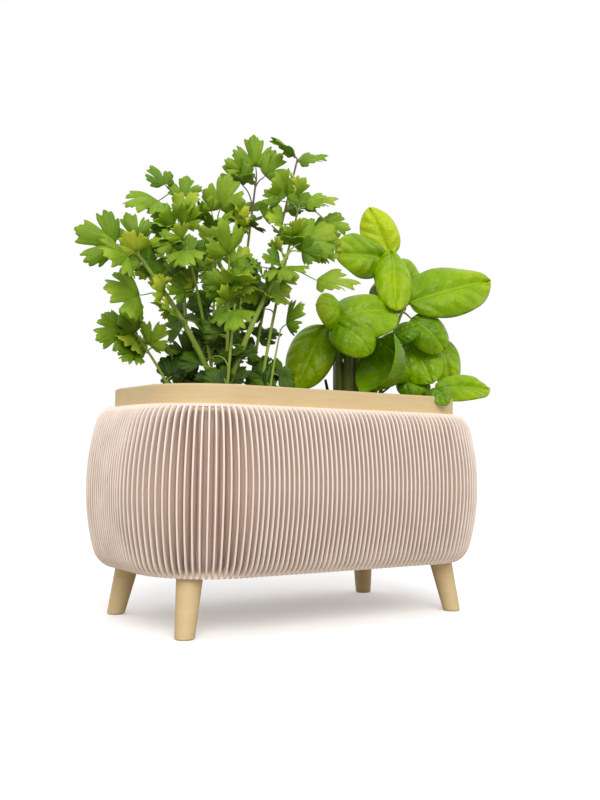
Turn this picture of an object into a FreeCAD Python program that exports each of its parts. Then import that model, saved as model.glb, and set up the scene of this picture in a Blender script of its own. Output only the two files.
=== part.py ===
import FreeCAD, Part
import math
import os
import Sketcher

Vector = FreeCAD.Vector
UP = Vector(0, 0, 1)
NEAR = 0.01

doc = FreeCAD.newDocument("herb_pot")
sheet = doc.addObject("Spreadsheet::Sheet", "sheet")

# Driving dimensions in millimetres, degrees and counts
SIZES = [
    # Plain outline of the body and its rim, seen from above
    ("edge_length", 280.0),
    ("edge_width", 150.0),
    ("edge_corner", 51.0),
    ("body_bottom", 41.8),
    ("body_height", 121.2),
    # Pleats: thin upright fins that swell out of the wall and fade into a lip at both ends
    ("pleat_rise", 20.8),
    ("pleat_end_rise", 5.0),
    ("pleat_thickness", 1.4),
    ("pleat_root", 1.0),
    ("groove_floor", 3.0),
    ("shoulder_radius", 20.0),
    ("shoulder_angle", 60.0),
    ("long_side_pleats", 43),
    ("short_side_pleats", 12),
    ("corner_pleats", 21),
    ("lip_height", 2.0),
    ("lip_rise", 4.5),
    ("wall", 2.5),
    ("floor_thickness", 4.0),
    # Lift-out liner whose rim is the tan band
    ("liner_clearance", 0.5),
    ("liner_wall", 2.4),
    ("liner_floor", 2.5),
    ("liner_stand", 6.0),
    ("rim_height", 14.3),
    ("rim_round", 1.5),
    # Splayed round legs, each held by one screw from inside the body
    ("leg_top_x", 117.4),
    ("leg_top_y", 53.2),
    ("leg_splay_x", 6.8),
    ("leg_splay_y", 7.2),
    ("leg_top_diameter", 19.0),
    ("leg_foot_diameter", 14.0),
    ("foot_bevel", 1.0),
    ("screw_inset", 1.5),
    ("screw_diameter", 4.0),
    ("screw_bite", 13.0),
    ("pilot_spare_depth", 1.0),
    ("screw_clearance", 0.05),
    ("screw_head_diameter", 8.0),
    ("screw_head_top_diameter", 6.4),
    ("screw_head_height", 2.8),
    ("washer_diameter", 10.0),
    ("washer_thickness", 1.0),
    ("floor_hole_clearance", 0.4),
    # Nursery pots standing in the liner
    ("pot_centre", 68.0),
    ("pot_top_diameter", 116.0),
    ("pot_base_diameter", 88.0),
    ("pot_height", 104.0),
    ("pot_wall", 1.2),
    ("pot_floor", 1.5),
    ("pot_rim_width", 2.0),
    ("pot_rim_height", 8.0),
    ("drain_diameter", 9.0),
    ("drain_circle", 56.0),
    ("drain_count", 6),
    ("soil_headroom", 14.0),
    ("soil_clearance", 0.3),
    # Herb stalks and leaf blades
    ("coriander_leaf_thickness", 0.7),
    ("basil_leaf_thickness", 0.9),
    ("leaf_stalk_width", 1.4),
    ("leaf_gap", 0.5),
    ("stalk_bends", 3),
    ("stalk_sides", 8),
]
for row, (alias, value) in enumerate(SIZES, start=1):
    sheet.set("A%d" % row, alias)
    sheet.set("B%d" % row, str(value))
    sheet.setAlias("B%d" % row, alias)
doc.recompute()


def size(alias):
    return float(sheet.get(alias))


def plane_of(body, role):
    return next(f for f in body.Origin.OriginFeatures if f.Role == role)


def new_body(label):
    body = doc.addObject("PartDesign::Body", label)
    body.Label = label
    return body


def new_sketch(body, name, role, height=None):
    sketch = body.newObject("Sketcher::SketchObject", name)
    sketch.AttachmentSupport = [(plane_of(body, role), "")]
    sketch.MapMode = "FlatFace"
    if height:
        sketch.setExpression("AttachmentOffset.Base.z", height)
    return sketch


def circle_sketch(body, name, height, x, y, diameter):
    sketch = new_sketch(body, name, "XY_Plane", height)
    sketch.addGeometry(Part.Circle(Vector(1, 1, 0), UP, 3))
    sketch.addConstraint(Sketcher.Constraint("DistanceX", 0, 3, 1.0))
    sketch.addConstraint(Sketcher.Constraint("DistanceY", 0, 3, 1.0))
    sketch.addConstraint(Sketcher.Constraint("Diameter", 0, 6.0))
    for index, expression in enumerate((x, y, diameter)):
        sketch.setExpression("Constraints[%d]" % index, expression)
    return sketch


def rounded_sketch(body, name, height, length, width, corner):
    """Rounded rectangle about the origin, with its three sizes given as expressions."""
    sketch = new_sketch(body, name, "XY_Plane", height)
    x, y, r = 100.0, 60.0, 40.0
    corners = [(x - r, r - y, 270), (x - r, y - r, 0), (r - x, y - r, 90), (r - x, r - y, 180)]
    ends = [((r - x, -y), (x - r, -y)), ((x, r - y), (x, y - r)),
            ((x - r, y), (r - x, y)), ((-x, y - r), (-x, r - y))]
    for (start, end), (cx, cy, turn) in zip(ends, corners):
        sketch.addGeometry(Part.LineSegment(Vector(*start, 0), Vector(*end, 0)))
        circle = Part.Circle(Vector(cx, cy, 0), UP, r)
        sketch.addGeometry(Part.ArcOfCircle(circle, math.radians(turn), math.radians(turn + 90)))
    for piece in range(8):
        sketch.addConstraint(Sketcher.Constraint("Tangent", piece, 2, (piece + 1) % 8, 1))
    sketch.addConstraint(Sketcher.Constraint("Horizontal", 4))
    sketch.addConstraint(Sketcher.Constraint("Vertical", 6))
    for arc in (3, 5, 7):
        sketch.addConstraint(Sketcher.Constraint("Equal", 1, arc))
    sketch.addConstraint(Sketcher.Constraint("Symmetric", 0, 1, 0, 2, -2))
    sketch.addConstraint(Sketcher.Constraint("Symmetric", 2, 1, 2, 2, -1))
    sizes = [
        sketch.addConstraint(Sketcher.Constraint("DistanceX", 6, 1, 2, 2, 2 * x)),
        sketch.addConstraint(Sketcher.Constraint("DistanceY", 0, 1, 4, 2, 2 * y)),
        sketch.addConstraint(Sketcher.Constraint("Radius", 1, r)),
    ]
    for index, expression in zip(sizes, (length, width, corner)):
        sketch.setExpression("Constraints[%d]" % index, expression)
    return sketch


def outline_sketch(body, name, height, offset):
    """The body's plain outline, moved outwards by an offset expression."""
    return rounded_sketch(body, name, height,
                          "sheet.edge_length + 2 * (%s)" % offset,
                          "sheet.edge_width + 2 * (%s)" % offset,
                          "sheet.edge_corner + (%s)" % offset)


def pad(body, name, sketch, length):
    feature = body.newObject("PartDesign::Pad", name)
    feature.Profile = sketch
    feature.setExpression("Length", length)
    return feature


def pocket(body, name, sketch, length):
    """Cuts downwards from its sketch, and makes sure that it has cut something."""
    doc.recompute()
    before = body.Shape.Volume
    feature = body.newObject("PartDesign::Pocket", name)
    feature.Profile = sketch
    feature.setExpression("Length", length)
    doc.recompute()
    if body.Shape.Volume > before - NEAR:
        raise ValueError(name + " cuts nothing")
    return feature


def revolve(body, name, points):
    """Turns a closed profile of (radius, height) expressions about the upright axis."""
    sketch = new_sketch(body, name + "_profile", "XZ_Plane")
    rough = [(3.0 + i, 2.0 * i) for i in range(len(points))]
    for start, end in zip(rough, rough[1:] + rough[:1]):
        sketch.addGeometry(Part.LineSegment(Vector(*start, 0), Vector(*end, 0)))
    count = len(points)
    for line in range(count):
        sketch.addConstraint(Sketcher.Constraint("Coincident", line, 2, (line + 1) % count, 1))
    bound = []
    for line, place in enumerate(points):
        for kind, value, expression in zip(("DistanceX", "DistanceY"), rough[line], place):
            index = sketch.addConstraint(Sketcher.Constraint(kind, -1, 1, line, 1, value))
            bound.append((index, expression))
    for index, expression in bound:
        sketch.setExpression("Constraints[%d]" % index, expression)
    feature = body.newObject("PartDesign::Revolution", name)
    feature.Profile = sketch
    feature.ReferenceAxis = (sketch, ["V_Axis"])
    feature.Angle = 360
    return feature


def fillet_at(body, name, feature, radius, height):
    """Rounds every edge that lies flat at one height."""
    doc.recompute()
    edges = []
    for index, edge in enumerate(feature.Shape.Edges, start=1):
        box = edge.BoundBox
        if abs(box.ZMin - height) < NEAR and abs(box.ZMax - height) < NEAR:
            edges.append("Edge%d" % index)
    fillet = body.newObject("PartDesign::Fillet", name)
    fillet.Base = (feature, edges)
    fillet.setExpression("Radius", radius)
    return fillet


def mirrored(source, label, normal):
    mirror = doc.addObject("Part::Mirroring", label)
    mirror.Label = label
    mirror.Source = source
    mirror.Normal = normal
    return mirror


def four_corners(source, labels):
    """The front left piece and its three mirrored twins, in the order of their labels."""
    right = mirrored(source, labels[1], Vector(1, 0, 0))
    rear_left = mirrored(source, labels[2], Vector(0, 1, 0))
    rear_right = mirrored(right, labels[3], Vector(0, 1, 0))
    return [source, right, rear_left, rear_right]


parts = []

BODY_TOP = "sheet.body_bottom + sheet.body_height"
RIM_TOP = BODY_TOP + " + sheet.rim_height"
FLOOR_TOP = "sheet.body_bottom + sheet.floor_thickness"
LINER_BOTTOM = FLOOR_TOP + " + sheet.liner_stand"
POT_BOTTOM = LINER_BOTTOM + " + sheet.liner_floor"
SCREW_X = "-sheet.leg_top_x + sheet.screw_inset * cos(atan2(sheet.leg_splay_y; sheet.leg_splay_x))"
SCREW_Y = "-sheet.leg_top_y + sheet.screw_inset * sin(atan2(sheet.leg_splay_y; sheet.leg_splay_x))"
LINER_OUT = "-sheet.wall - sheet.liner_clearance"
LINER_IN = LINER_OUT + " - sheet.liner_wall"

# Pleated shell: a plain tub wall with a lip at both ends, grown into a ring of fins
core = new_body("shell_core")
pad(core, "wall_pad", outline_sketch(core, "wall_outline", "sheet.body_bottom", "sheet.groove_floor"),
    "sheet.body_height")
pad(core, "low_lip", outline_sketch(core, "low_lip_outline", "sheet.body_bottom", "sheet.lip_rise"),
    "sheet.lip_height")
pad(core, "high_lip",
    outline_sketch(core, "high_lip_outline", BODY_TOP + " - sheet.lip_height", "sheet.lip_rise"),
    "sheet.lip_height")
pocket(core, "well", outline_sketch(core, "well_outline", BODY_TOP, "-sheet.wall"),
       "sheet.body_height - sheet.floor_thickness")
for side_x, side_y, corner in ((1, 1, "fl"), (-1, 1, "fr"), (1, -1, "rl"), (-1, -1, "rr")):
    hole = circle_sketch(core, "screw_hole_" + corner, FLOOR_TOP,
                         "%d * (%s)" % (side_x, SCREW_X), "%d * (%s)" % (side_y, SCREW_Y),
                         "sheet.screw_diameter + 2 * sheet.floor_hole_clearance")
    pocket(core, "screw_pocket_" + corner, hole, "sheet.floor_thickness")


def fin_face():
    """Side view of one pleat: a long shallow belly arc between two tangent shoulder arcs."""
    half = size("body_height") / 2
    middle = size("body_bottom") + half
    rise = size("pleat_rise")
    end = size("pleat_end_rise")
    radius = size("shoulder_radius")
    slope = math.radians(size("shoulder_angle"))
    centre_out = end - radius * math.cos(slope)
    centre_up = half - radius * math.sin(slope)
    inset = centre_out - rise
    belly = (radius ** 2 - inset ** 2 - centre_up ** 2) / (2 * (inset + radius))
    lean = math.atan2(centre_up, centre_out - rise + belly)
    meet_out = rise - belly + belly * math.cos(lean)
    meet_up = belly * math.sin(lean)
    halfway = (lean + slope) / 2
    half_out = centre_out + radius * math.cos(halfway)
    half_up = centre_up + radius * math.sin(halfway)
    base = size("edge_corner")
    root = base + size("groove_floor") - size("pleat_root")

    def place(out, up):
        return Vector(base + out, 0, middle + up)

    low, high = place(end, -half), place(end, half)
    low_root, high_root = Vector(root, 0, middle - half), Vector(root, 0, middle + half)
    edges = [
        Part.Arc(low, place(half_out, -half_up), place(meet_out, -meet_up)).toShape(),
        Part.Arc(place(meet_out, -meet_up), place(rise, 0), place(meet_out, meet_up)).toShape(),
        Part.Arc(place(meet_out, meet_up), place(half_out, half_up), high).toShape(),
        Part.makeLine(high, high_root),
        Part.makeLine(high_root, low_root),
        Part.makeLine(low_root, low),
    ]
    return Part.Face(Part.Wire(edges))


def fin_places():
    """Where the fins stand round the outline, and which way each one points."""
    run_x = size("edge_length") - 2 * size("edge_corner")
    run_y = size("edge_width") - 2 * size("edge_corner")
    long_count = int(size("long_side_pleats"))
    short_count = int(size("short_side_pleats"))
    corner_count = int(size("corner_pleats"))
    sides = [(-run_x / 2, -run_y / 2, 0, run_x, long_count), (run_x / 2, -run_y / 2, 90, run_y, short_count),
             (run_x / 2, run_y / 2, 180, run_x, long_count), (-run_x / 2, run_y / 2, 270, run_y, short_count)]
    places = []
    for start_x, start_y, heading, run, count in sides:
        along_x = math.cos(math.radians(heading))
        along_y = math.sin(math.radians(heading))
        for index in range(count):
            step = run * (index + 0.5) / count
            places.append((start_x + along_x * step, start_y + along_y * step, heading - 90))
        for index in range(corner_count):
            turn = 90 * (index + 0.5) / corner_count
            places.append((start_x + along_x * run, start_y + along_y * run, heading - 90 + turn))
    return places


thickness = size("pleat_thickness")
fin = fin_face()
fin.translate(Vector(0, -thickness / 2, 0))
fin = fin.extrude(Vector(0, thickness, 0))
fins = []
for x, y, angle in fin_places():
    copy = fin.copy()
    copy.Placement = FreeCAD.Placement(Vector(x, y, 0), FreeCAD.Rotation(UP, angle))
    fins.append(copy)
pleat_ring = doc.addObject("Part::Feature", "pleat_ring")
pleat_ring.Shape = Part.makeCompound(fins)
shell = doc.addObject("Part::Fuse", "pleated_shell")
shell.Label = "pleated_shell"
shell.Base = core
shell.Tool = pleat_ring
shell.Refine = True
parts.append(shell)

# Liner: a plain tub that hangs by its rim on the shell's top edge
liner = new_body("liner")
pad(liner, "tub", outline_sketch(liner, "tub_outline", LINER_BOTTOM, LINER_OUT),
    "%s - (%s)" % (BODY_TOP, LINER_BOTTOM))
pad(liner, "rim", outline_sketch(liner, "rim_outline", BODY_TOP, "0"), "sheet.rim_height")
hollow = pocket(liner, "hollow", outline_sketch(liner, "hollow_outline", RIM_TOP, LINER_IN),
                "%s - (%s)" % (RIM_TOP, POT_BOTTOM))
fillet_at(liner, "rim_rounding", hollow, "sheet.rim_round",
          size("body_bottom") + size("body_height") + size("rim_height"))
parts.append(liner)

# Legs: round tapered posts that lean outwards, cut level at both ends
leg = new_body("leg_front_left")
ANKLE_SHARE = "(1 - sheet.foot_bevel / sheet.body_bottom)"
foot_circle = circle_sketch(leg, "foot_circle", "0", "-sheet.leg_top_x - sheet.leg_splay_x",
                            "-sheet.leg_top_y - sheet.leg_splay_y",
                            "sheet.leg_foot_diameter - 2 * sheet.foot_bevel")
ankle_circle = circle_sketch(leg, "ankle_circle", "sheet.foot_bevel",
                             "-sheet.leg_top_x - sheet.leg_splay_x * " + ANKLE_SHARE,
                             "-sheet.leg_top_y - sheet.leg_splay_y * " + ANKLE_SHARE,
                             "sheet.leg_foot_diameter")
top_circle = circle_sketch(leg, "top_circle", "sheet.body_bottom", "-sheet.leg_top_x",
                           "-sheet.leg_top_y", "sheet.leg_top_diameter")
post = leg.newObject("PartDesign::AdditiveLoft", "post")
post.Profile = foot_circle
post.Sections = [ankle_circle, top_circle]
post.Ruled = True
pilot = circle_sketch(leg, "pilot_circle", "sheet.body_bottom", SCREW_X, SCREW_Y,
                      "sheet.screw_diameter + 2 * sheet.screw_clearance")
pocket(leg, "pilot_hole", pilot, "sheet.screw_bite + sheet.pilot_spare_depth")
parts += four_corners(leg, ["leg_front_left", "leg_front_right", "leg_rear_left", "leg_rear_right"])

# Leg screws: pan heads on washers, standing on the shell's floor
screw = new_body("leg_screw")
revolve(screw, "screw_turning", [
    ("0", "-sheet.screw_bite - sheet.floor_thickness"),
    ("sheet.screw_diameter / 2", "-sheet.screw_bite - sheet.floor_thickness"),
    ("sheet.screw_diameter / 2", "sheet.washer_thickness"),
    ("sheet.screw_head_diameter / 2", "sheet.washer_thickness"),
    ("sheet.screw_head_top_diameter / 2", "sheet.washer_thickness + sheet.screw_head_height"),
    ("0", "sheet.washer_thickness + sheet.screw_head_height"),
])
washer = new_body("leg_washer")
revolve(washer, "washer_turning", [
    ("sheet.screw_diameter / 2 + sheet.screw_clearance", "0"),
    ("sheet.washer_diameter / 2", "0"),
    ("sheet.washer_diameter / 2", "sheet.washer_thickness"),
    ("sheet.screw_diameter / 2 + sheet.screw_clearance", "sheet.washer_thickness"),
])
for source, label in ((screw, "leg_screws"), (washer, "leg_washers")):
    source.setExpression("Placement.Base.x", SCREW_X)
    source.setExpression("Placement.Base.y", SCREW_Y)
    source.setExpression("Placement.Base.z", FLOOR_TOP)
    names = [label + suffix for suffix in ("_front_left", "_front_right", "_rear_left", "_rear_right")]
    group = doc.addObject("Part::Compound", label)
    group.Label = label
    group.Links = four_corners(source, names)
    parts.append(group)

# Nursery pots: thin tapered cups with a stiff rim and a ring of drain holes
pot = new_body("coriander_pot")
TOP_OUT = "sheet.pot_top_diameter / 2"
BASE_OUT = "sheet.pot_base_diameter / 2"
TAPER = "(sheet.pot_top_diameter - sheet.pot_base_diameter) / (2 * sheet.pot_height)"
revolve(pot, "pot_turning", [
    ("0", "0"),
    (BASE_OUT, "0"),
    (TOP_OUT + " - sheet.pot_rim_height * " + TAPER, "sheet.pot_height - sheet.pot_rim_height"),
    (TOP_OUT + " + sheet.pot_rim_width", "sheet.pot_height - sheet.pot_rim_height"),
    (TOP_OUT + " + sheet.pot_rim_width", "sheet.pot_height"),
    (TOP_OUT + " - sheet.pot_wall", "sheet.pot_height"),
    (BASE_OUT + " - sheet.pot_wall + sheet.pot_floor * " + TAPER, "sheet.pot_floor"),
    ("0", "sheet.pot_floor"),
])
drain = pocket(pot, "drain", circle_sketch(pot, "drain_circle", "sheet.pot_floor", "sheet.drain_circle / 2",
                                           "0", "sheet.drain_diameter"), "sheet.pot_floor")
drains = pot.newObject("PartDesign::PolarPattern", "drains")
drains.Originals = [drain]
drains.Axis = (plane_of(pot, "Z_Axis"), [""])
drains.Angle = 360
drains.setExpression("Occurrences", "sheet.drain_count")
pot.Tip = drains
pot.setExpression("Placement.Base.x", "-sheet.pot_centre")
pot.setExpression("Placement.Base.z", POT_BOTTOM)
parts += [pot, mirrored(pot, "basil_pot", Vector(1, 0, 0))]

# Potting soil: one plug of earth in each pot
for herb, sign in (("coriander", "-"), ("basil", "")):
    soil = doc.addObject("Part::Cone", herb + "_soil")
    soil.Label = herb + "_soil"
    inside = " - sheet.pot_wall - sheet.soil_clearance"
    soil.setExpression("Radius1", BASE_OUT + inside + " + sheet.pot_floor * " + TAPER)
    soil.setExpression("Radius2", TOP_OUT + inside + " - sheet.soil_headroom * " + TAPER)
    soil.setExpression("Height", "sheet.pot_height - sheet.pot_floor - sheet.soil_headroom")
    soil.setExpression("Placement.Base.x", sign + "sheet.pot_centre")
    soil.setExpression("Placement.Base.z", POT_BOTTOM + " + sheet.pot_floor")
    parts.append(soil)

# Herbs: stalks of a few straight runs, each with the blades that it carries
SOIL_TOP = (size("body_bottom") + size("floor_thickness") + size("liner_stand") + size("liner_floor")
            + size("pot_height") - size("soil_headroom"))


class Stem:
    """A stalk that leaves the soil upright and leans over to its tip in a few straight runs."""

    def __init__(self, middle, root, tip, diameter):
        foot = middle + Vector(*root, 0)
        rise = middle + Vector(*tip) - foot
        level = Vector(rise.x, rise.y, 0)
        out = level / level.Length
        radius = (level.Length ** 2 + rise.z ** 2) / (2 * level.Length)
        turn = 2 * math.atan2(level.Length, rise.z)
        bends = int(size("stalk_bends"))
        step = turn / bends
        reach = radius / math.cos(step / 2)
        self.knots = [foot]
        for index in range(bends):
            angle = step * (index + 0.5)
            self.knots.append(foot + out * (radius - reach * math.cos(angle)) + UP * (reach * math.sin(angle)))
        self.knots.append(middle + Vector(*tip))
        self.diameter = diameter

    def place(self, share):
        """A point at a share of the stalk's length, and the way that the stalk runs there."""
        runs = list(zip(self.knots, self.knots[1:]))
        left = share * sum((end - start).Length for start, end in runs)
        for start, end in runs[:-1]:
            length = (end - start).Length
            if left <= length:
                break
            left -= length
        else:
            start, end = runs[-1]
        along = (end - start).normalize()
        return start + along * left, along

    def solid(self):
        sides = int(size("stalk_sides"))
        corners = []
        for index in range(sides + 1):
            angle = 2 * math.pi * index / sides
            corners.append(self.knots[0] + Vector(math.cos(angle), math.sin(angle), 0) * (self.diameter / 2))
        right_corners = 1
        return Part.makePolygon(self.knots).makePipeShell([Part.makePolygon(corners)], True, False, right_corners)


# Coriander blade: how far the fan opens to each side, the turn from lobe to lobe and the teeth
FAN_TURN = 100
LOBE_TURN = 66
LOBE_DEPTH = 0.24
TOOTH_REACH = 1.06
FAN_POINTS = 18
FAN_WIDTH = 1.95


def coriander_outline(length, blade, width):
    """A fan of three toothed lobes on a narrow stalk, along +Y."""
    half_stalk = size("leaf_stalk_width") / 2
    points = [Vector(-half_stalk, 0, 0), Vector(half_stalk, 0, 0)]
    for index in range(FAN_POINTS + 1):
        turn = FAN_TURN * (1 - 2 * index / FAN_POINTS)
        reach = 1 - LOBE_DEPTH * (1 - math.cos(math.radians(turn * 360 / LOBE_TURN)))
        if index % 2:
            reach *= TOOTH_REACH
        across = width / FAN_WIDTH * reach * math.sin(math.radians(turn))
        along = blade / TOOTH_REACH * reach * math.cos(math.radians(turn))
        points.append(Vector(across, length - blade + along, 0))
    return Part.makePolygon(points + points[:1])


# Basil blade: its half width as a share of the width, at shares of the blade's length
BASIL_HALF_WIDTHS = [(0.15, 0.31), (0.42, 0.5), (0.75, 0.33), (1.0, 0.02)]


def basil_outline(length, blade, width):
    """A pointed oval on a short stalk, along +Y."""
    half_stalk = size("leaf_stalk_width") / 2
    start = length - blade
    right = [Vector(half_stalk, start, 0)]
    right += [Vector(width * across, start + blade * along, 0) for along, across in BASIL_HALF_WIDTHS]
    left = [Vector(-point.x, point.y, 0) for point in reversed(right)]
    sides = []
    for points in (right, left):
        curve = Part.BSplineCurve()
        curve.interpolate(points)
        sides.append(curve.toShape())
    foot_left, foot_right = Vector(-half_stalk, 0, 0), Vector(half_stalk, 0, 0)
    return Part.Wire([Part.makeLine(foot_left, foot_right), Part.makeLine(foot_right, right[0]), sides[0],
                      Part.makeLine(right[-1], left[0]), sides[1], Part.makeLine(left[-1], foot_left)])


def arched_slab(length, width, arch, thickness):
    """A slab over the outline, arched along its length by a share of that length."""
    sag = arch * length
    radius = (length ** 2 / 4 + sag ** 2) / (2 * sag)
    end_margin = 1.05
    reach = end_margin * math.asin(length / 2 / radius)
    centre = Vector(-width, length / 2, sag - radius)

    def arc(offset):
        points = []
        for angle in (-reach, 0, reach):
            points.append(centre + Vector(0, math.sin(angle), math.cos(angle)) * (radius + offset))
        return points

    over, under = arc(thickness / 2), arc(-thickness / 2)
    face = Part.Face(Part.Wire([Part.Arc(*over).toShape(), Part.makeLine(over[2], under[2]),
                                Part.Arc(*reversed(under)).toShape(), Part.makeLine(under[0], over[0])]))
    return face.extrude(Vector(2 * width, 0, 0))


def leaf_solid(outline, base, tip, blade, width, facing, arch, thickness):
    """One blade from base to tip, with its upper side towards the facing direction."""
    along = tip - base
    length = along.Length
    along = along / length
    normal = facing - along * facing.dot(along)
    normal.normalize()
    across = along.cross(normal)
    prism = Part.Face(outline(length, min(blade, length - size("leaf_stalk_width")), width))
    prism.translate(Vector(0, 0, -length))
    solid = prism.extrude(Vector(0, 0, 2 * length)).common(arched_slab(length, width, arch, thickness))
    turned = FreeCAD.Matrix(across.x, along.x, normal.x, base.x,
                            across.y, along.y, normal.y, base.y,
                            across.z, along.z, normal.z, base.z,
                            0, 0, 0, 1)
    return solid.transformed(turned)


def grow(herb, stalk_word, middle, stems, leaves, outline, thickness):
    """One node for each stalk and one for the leaves that it carries."""
    for number, (root, tip, diameter) in enumerate(stems, start=1):
        stem = Stem(middle, root, tip, diameter)
        stalk = doc.addObject("Part::Feature", "%s_%s_%02d" % (herb, stalk_word, number))
        stalk.Shape = stem.solid()
        parts.append(stalk)
        blades = []
        for owner, share, end, blade, width, facing, arch in leaves:
            if owner != number:
                continue
            end = middle + Vector(*end)
            holder, along = stem.place(share)
            towards = (end - holder).normalize()
            aside = towards - along * towards.dot(along)
            if share < 1:
                towards = aside.normalize()
            base = holder + towards * (diameter / 2 * aside.Length + size("leaf_gap"))
            blades.append(leaf_solid(outline, base, end, blade, width, Vector(*facing), arch, thickness))
        foliage = doc.addObject("Part::Feature", "%s_leaves_%02d" % (herb, number))
        foliage.Shape = Part.makeCompound(blades)
        parts.append(foliage)


# Coriander, from the middle of its soil: root and tip of each stalk with its diameter
CORIANDER_STALKS = [
    ((-24, -6), (-79, -16, 130), 3.2),
    ((-4, -20), (-16, -42, 128), 2.6),
    ((14, 6), (34, 4, 210), 2.6),
    ((6, -18), (28, -56, 138), 3.4),
    ((20, -22), (44, -46, 180), 2.4),
    ((-16, 14), (-30, 20, 188), 2.6),
    ((2, 18), (2, 10, 174), 2.2),
    ((22, -2), (54, -28, 210), 2.4),
    ((-30, 12), (-68, 18, 80), 2.4),
    ((-36, -16), (-44, -26, 142), 2.4),
    ((-12, -32), (-16, -52, 94), 2.2),
    ((22, -34), (34, -36, 80), 2.0),
]
# Each leaf: its stalk, how far along, the leaf's tip, blade length and width, facing and arch
FRONT = (-0.5, -0.8, 0.3)
TOP = (-0.25, -0.45, 0.85)
CORIANDER_LEAVES = [
    (1, 1.0, (-121, 5, 146), 32, 39, FRONT, 0.10),
    (1, 0.98, (-114, -36, 118), 30, 36, FRONT, 0.12),
    (1, 0.90, (-82, -2, 162), 24, 26, FRONT, 0.10),
    (1, 0.72, (-104, -14, 100), 30, 39, FRONT, 0.12),
    (2, 1.0, (-32, -52, 156), 30, 34, FRONT, 0.12),
    (3, 1.0, (33, 8, 248), 28, 34, FRONT, 0.10),
    (3, 0.96, (48, -16, 228), 24, 31, FRONT, 0.12),
    (3, 0.88, (14, 16, 226), 22, 26, FRONT, 0.10),
    (4, 1.0, (64, -66, 160), 28, 34, FRONT, 0.12),
    (4, 0.92, (18, -74, 110), 26, 34, FRONT, 0.14),
    (4, 0.86, (75, -84, 112), 34, 29, FRONT, 0.14),
    (5, 1.0, (70, -62, 182), 26, 26, TOP, 0.12),
    (5, 0.9, (74, -60, 148), 24, 31, FRONT, 0.12),
    (6, 1.0, (-77, 12, 168), 34, 34, TOP, 0.14),
    (6, 0.985, (-42, 46, 216), 24, 23, FRONT, 0.12),
    (6, 0.92, (-14, 34, 210), 22, 26, FRONT, 0.10),
    (6, 0.82, (-58, -6, 168), 26, 31, FRONT, 0.12),
    (7, 1.0, (8, 0, 208), 30, 36, FRONT, 0.12),
    (7, 0.93, (-16, 0, 174), 20, 23, TOP, 0.12),
    (8, 1.0, (52, -36, 242), 26, 29, TOP, 0.12),
    (8, 0.92, (78, -40, 216), 24, 26, TOP, 0.12),
    (8, 0.86, (22, -36, 198), 24, 31, FRONT, 0.12),
    (9, 1.0, (-98, 14, 66), 26, 29, FRONT, 0.14),
    (9, 0.8, (-80, 4, 50), 20, 21, FRONT, 0.12),
    (10, 0.97, (-54, -44, 116), 26, 28, FRONT, 0.14),
    (10, 0.5, (-72, -30, 92), 28, 29, TOP, 0.12),
    (11, 0.97, (-20, -66, 70), 24, 34, FRONT, 0.14),
    (11, 0.5, (-44, -50, 70), 28, 31, FRONT, 0.14),
    (12, 1.0, (42, -60, 98), 24, 31, FRONT, 0.12),
]
grow("coriander", "stalk", Vector(-size("pot_centre"), 0, SOIL_TOP), CORIANDER_STALKS, CORIANDER_LEAVES,
     coriander_outline, size("coriander_leaf_thickness"))

# Basil, from the middle of its soil: root and tip of each stem with its diameter
BASIL_STEMS = [
    ((-4, 4), (32, -6, 162), 4.0),
    ((0, -12), (36, -28, 126), 3.6),
    ((-16, 0), (-32, -12, 94), 3.6),
    ((-6, -20), (14, -30, 88), 3.0),
    ((10, -14), (54, -38, 42), 2.6),
    ((12, 6), (48, -8, 80), 3.0),
]
BASIL_LEAVES = [
    (1, 1.0, (24, 10, 210), 46, 32, FRONT, 0.12),
    (1, 0.97, (-40, -30, 150), 62, 36, TOP, 0.16),
    (1, 0.94, (12, -44, 108), 56, 32, FRONT, 0.16),
    (1, 0.99, (74, 12, 154), 40, 30, FRONT, 0.16),
    (2, 1.0, (121, -42, 142), 78, 44, FRONT, 0.12),
    (2, 0.85, (64, -42, 76), 34, 28, FRONT, 0.18),
    (3, 1.0, (14, -42, 102), 50, 34, TOP, 0.14),
    (3, 0.96, (-46, 6, 116), 28, 32, FRONT, 0.18),
    (3, 0.92, (-24, -50, 66), 40, 32, FRONT, 0.16),
    (3, 0.88, (-54, 16, 44), 52, 42, FRONT, 0.18),
    (4, 0.98, (-14, -64, 38), 56, 34, FRONT, 0.18),
    (5, 1.0, (113, -46, 48), 48, 22, TOP, 0.14),
    (6, 1.0, (84, -34, 52), 34, 26, FRONT, 0.16),
    (6, 0.6, (68, 10, 54), 30, 24, FRONT, 0.16),
]
BASIL_MIDDLE = Vector(size("pot_centre"), 0, SOIL_TOP)
grow("basil", "stem", BASIL_MIDDLE, BASIL_STEMS, BASIL_LEAVES, basil_outline, size("basil_leaf_thickness"))

# A cut stem's dead end, dry and dark, beside the living basil stems
dry_stalk = doc.addObject("Part::Feature", "basil_dry_stalk")
dry_stalk.Shape = Stem(BASIL_MIDDLE, (-24, 12), (-35, 10, 50), 2.2).solid()
parts.append(dry_stalk)

doc.recompute()
for item in doc.Objects:
    if "Invalid" in item.State or "Error" in item.State:
        raise RuntimeError("%s failed: %s" % (item.Name, item.State))
for part in parts:
    if part.Shape.isNull() or not part.Shape.isValid() or not part.Shape.Solids:
        raise RuntimeError(part.Label + " has no valid shape")
os.makedirs("parts", exist_ok=True)
for part in parts:
    part.Shape.exportStep("parts/%s.step" % part.Label)
print(len(parts), "parts", sum(len(part.Shape.Solids) for part in parts), "solids")
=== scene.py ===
import math
import random

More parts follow.
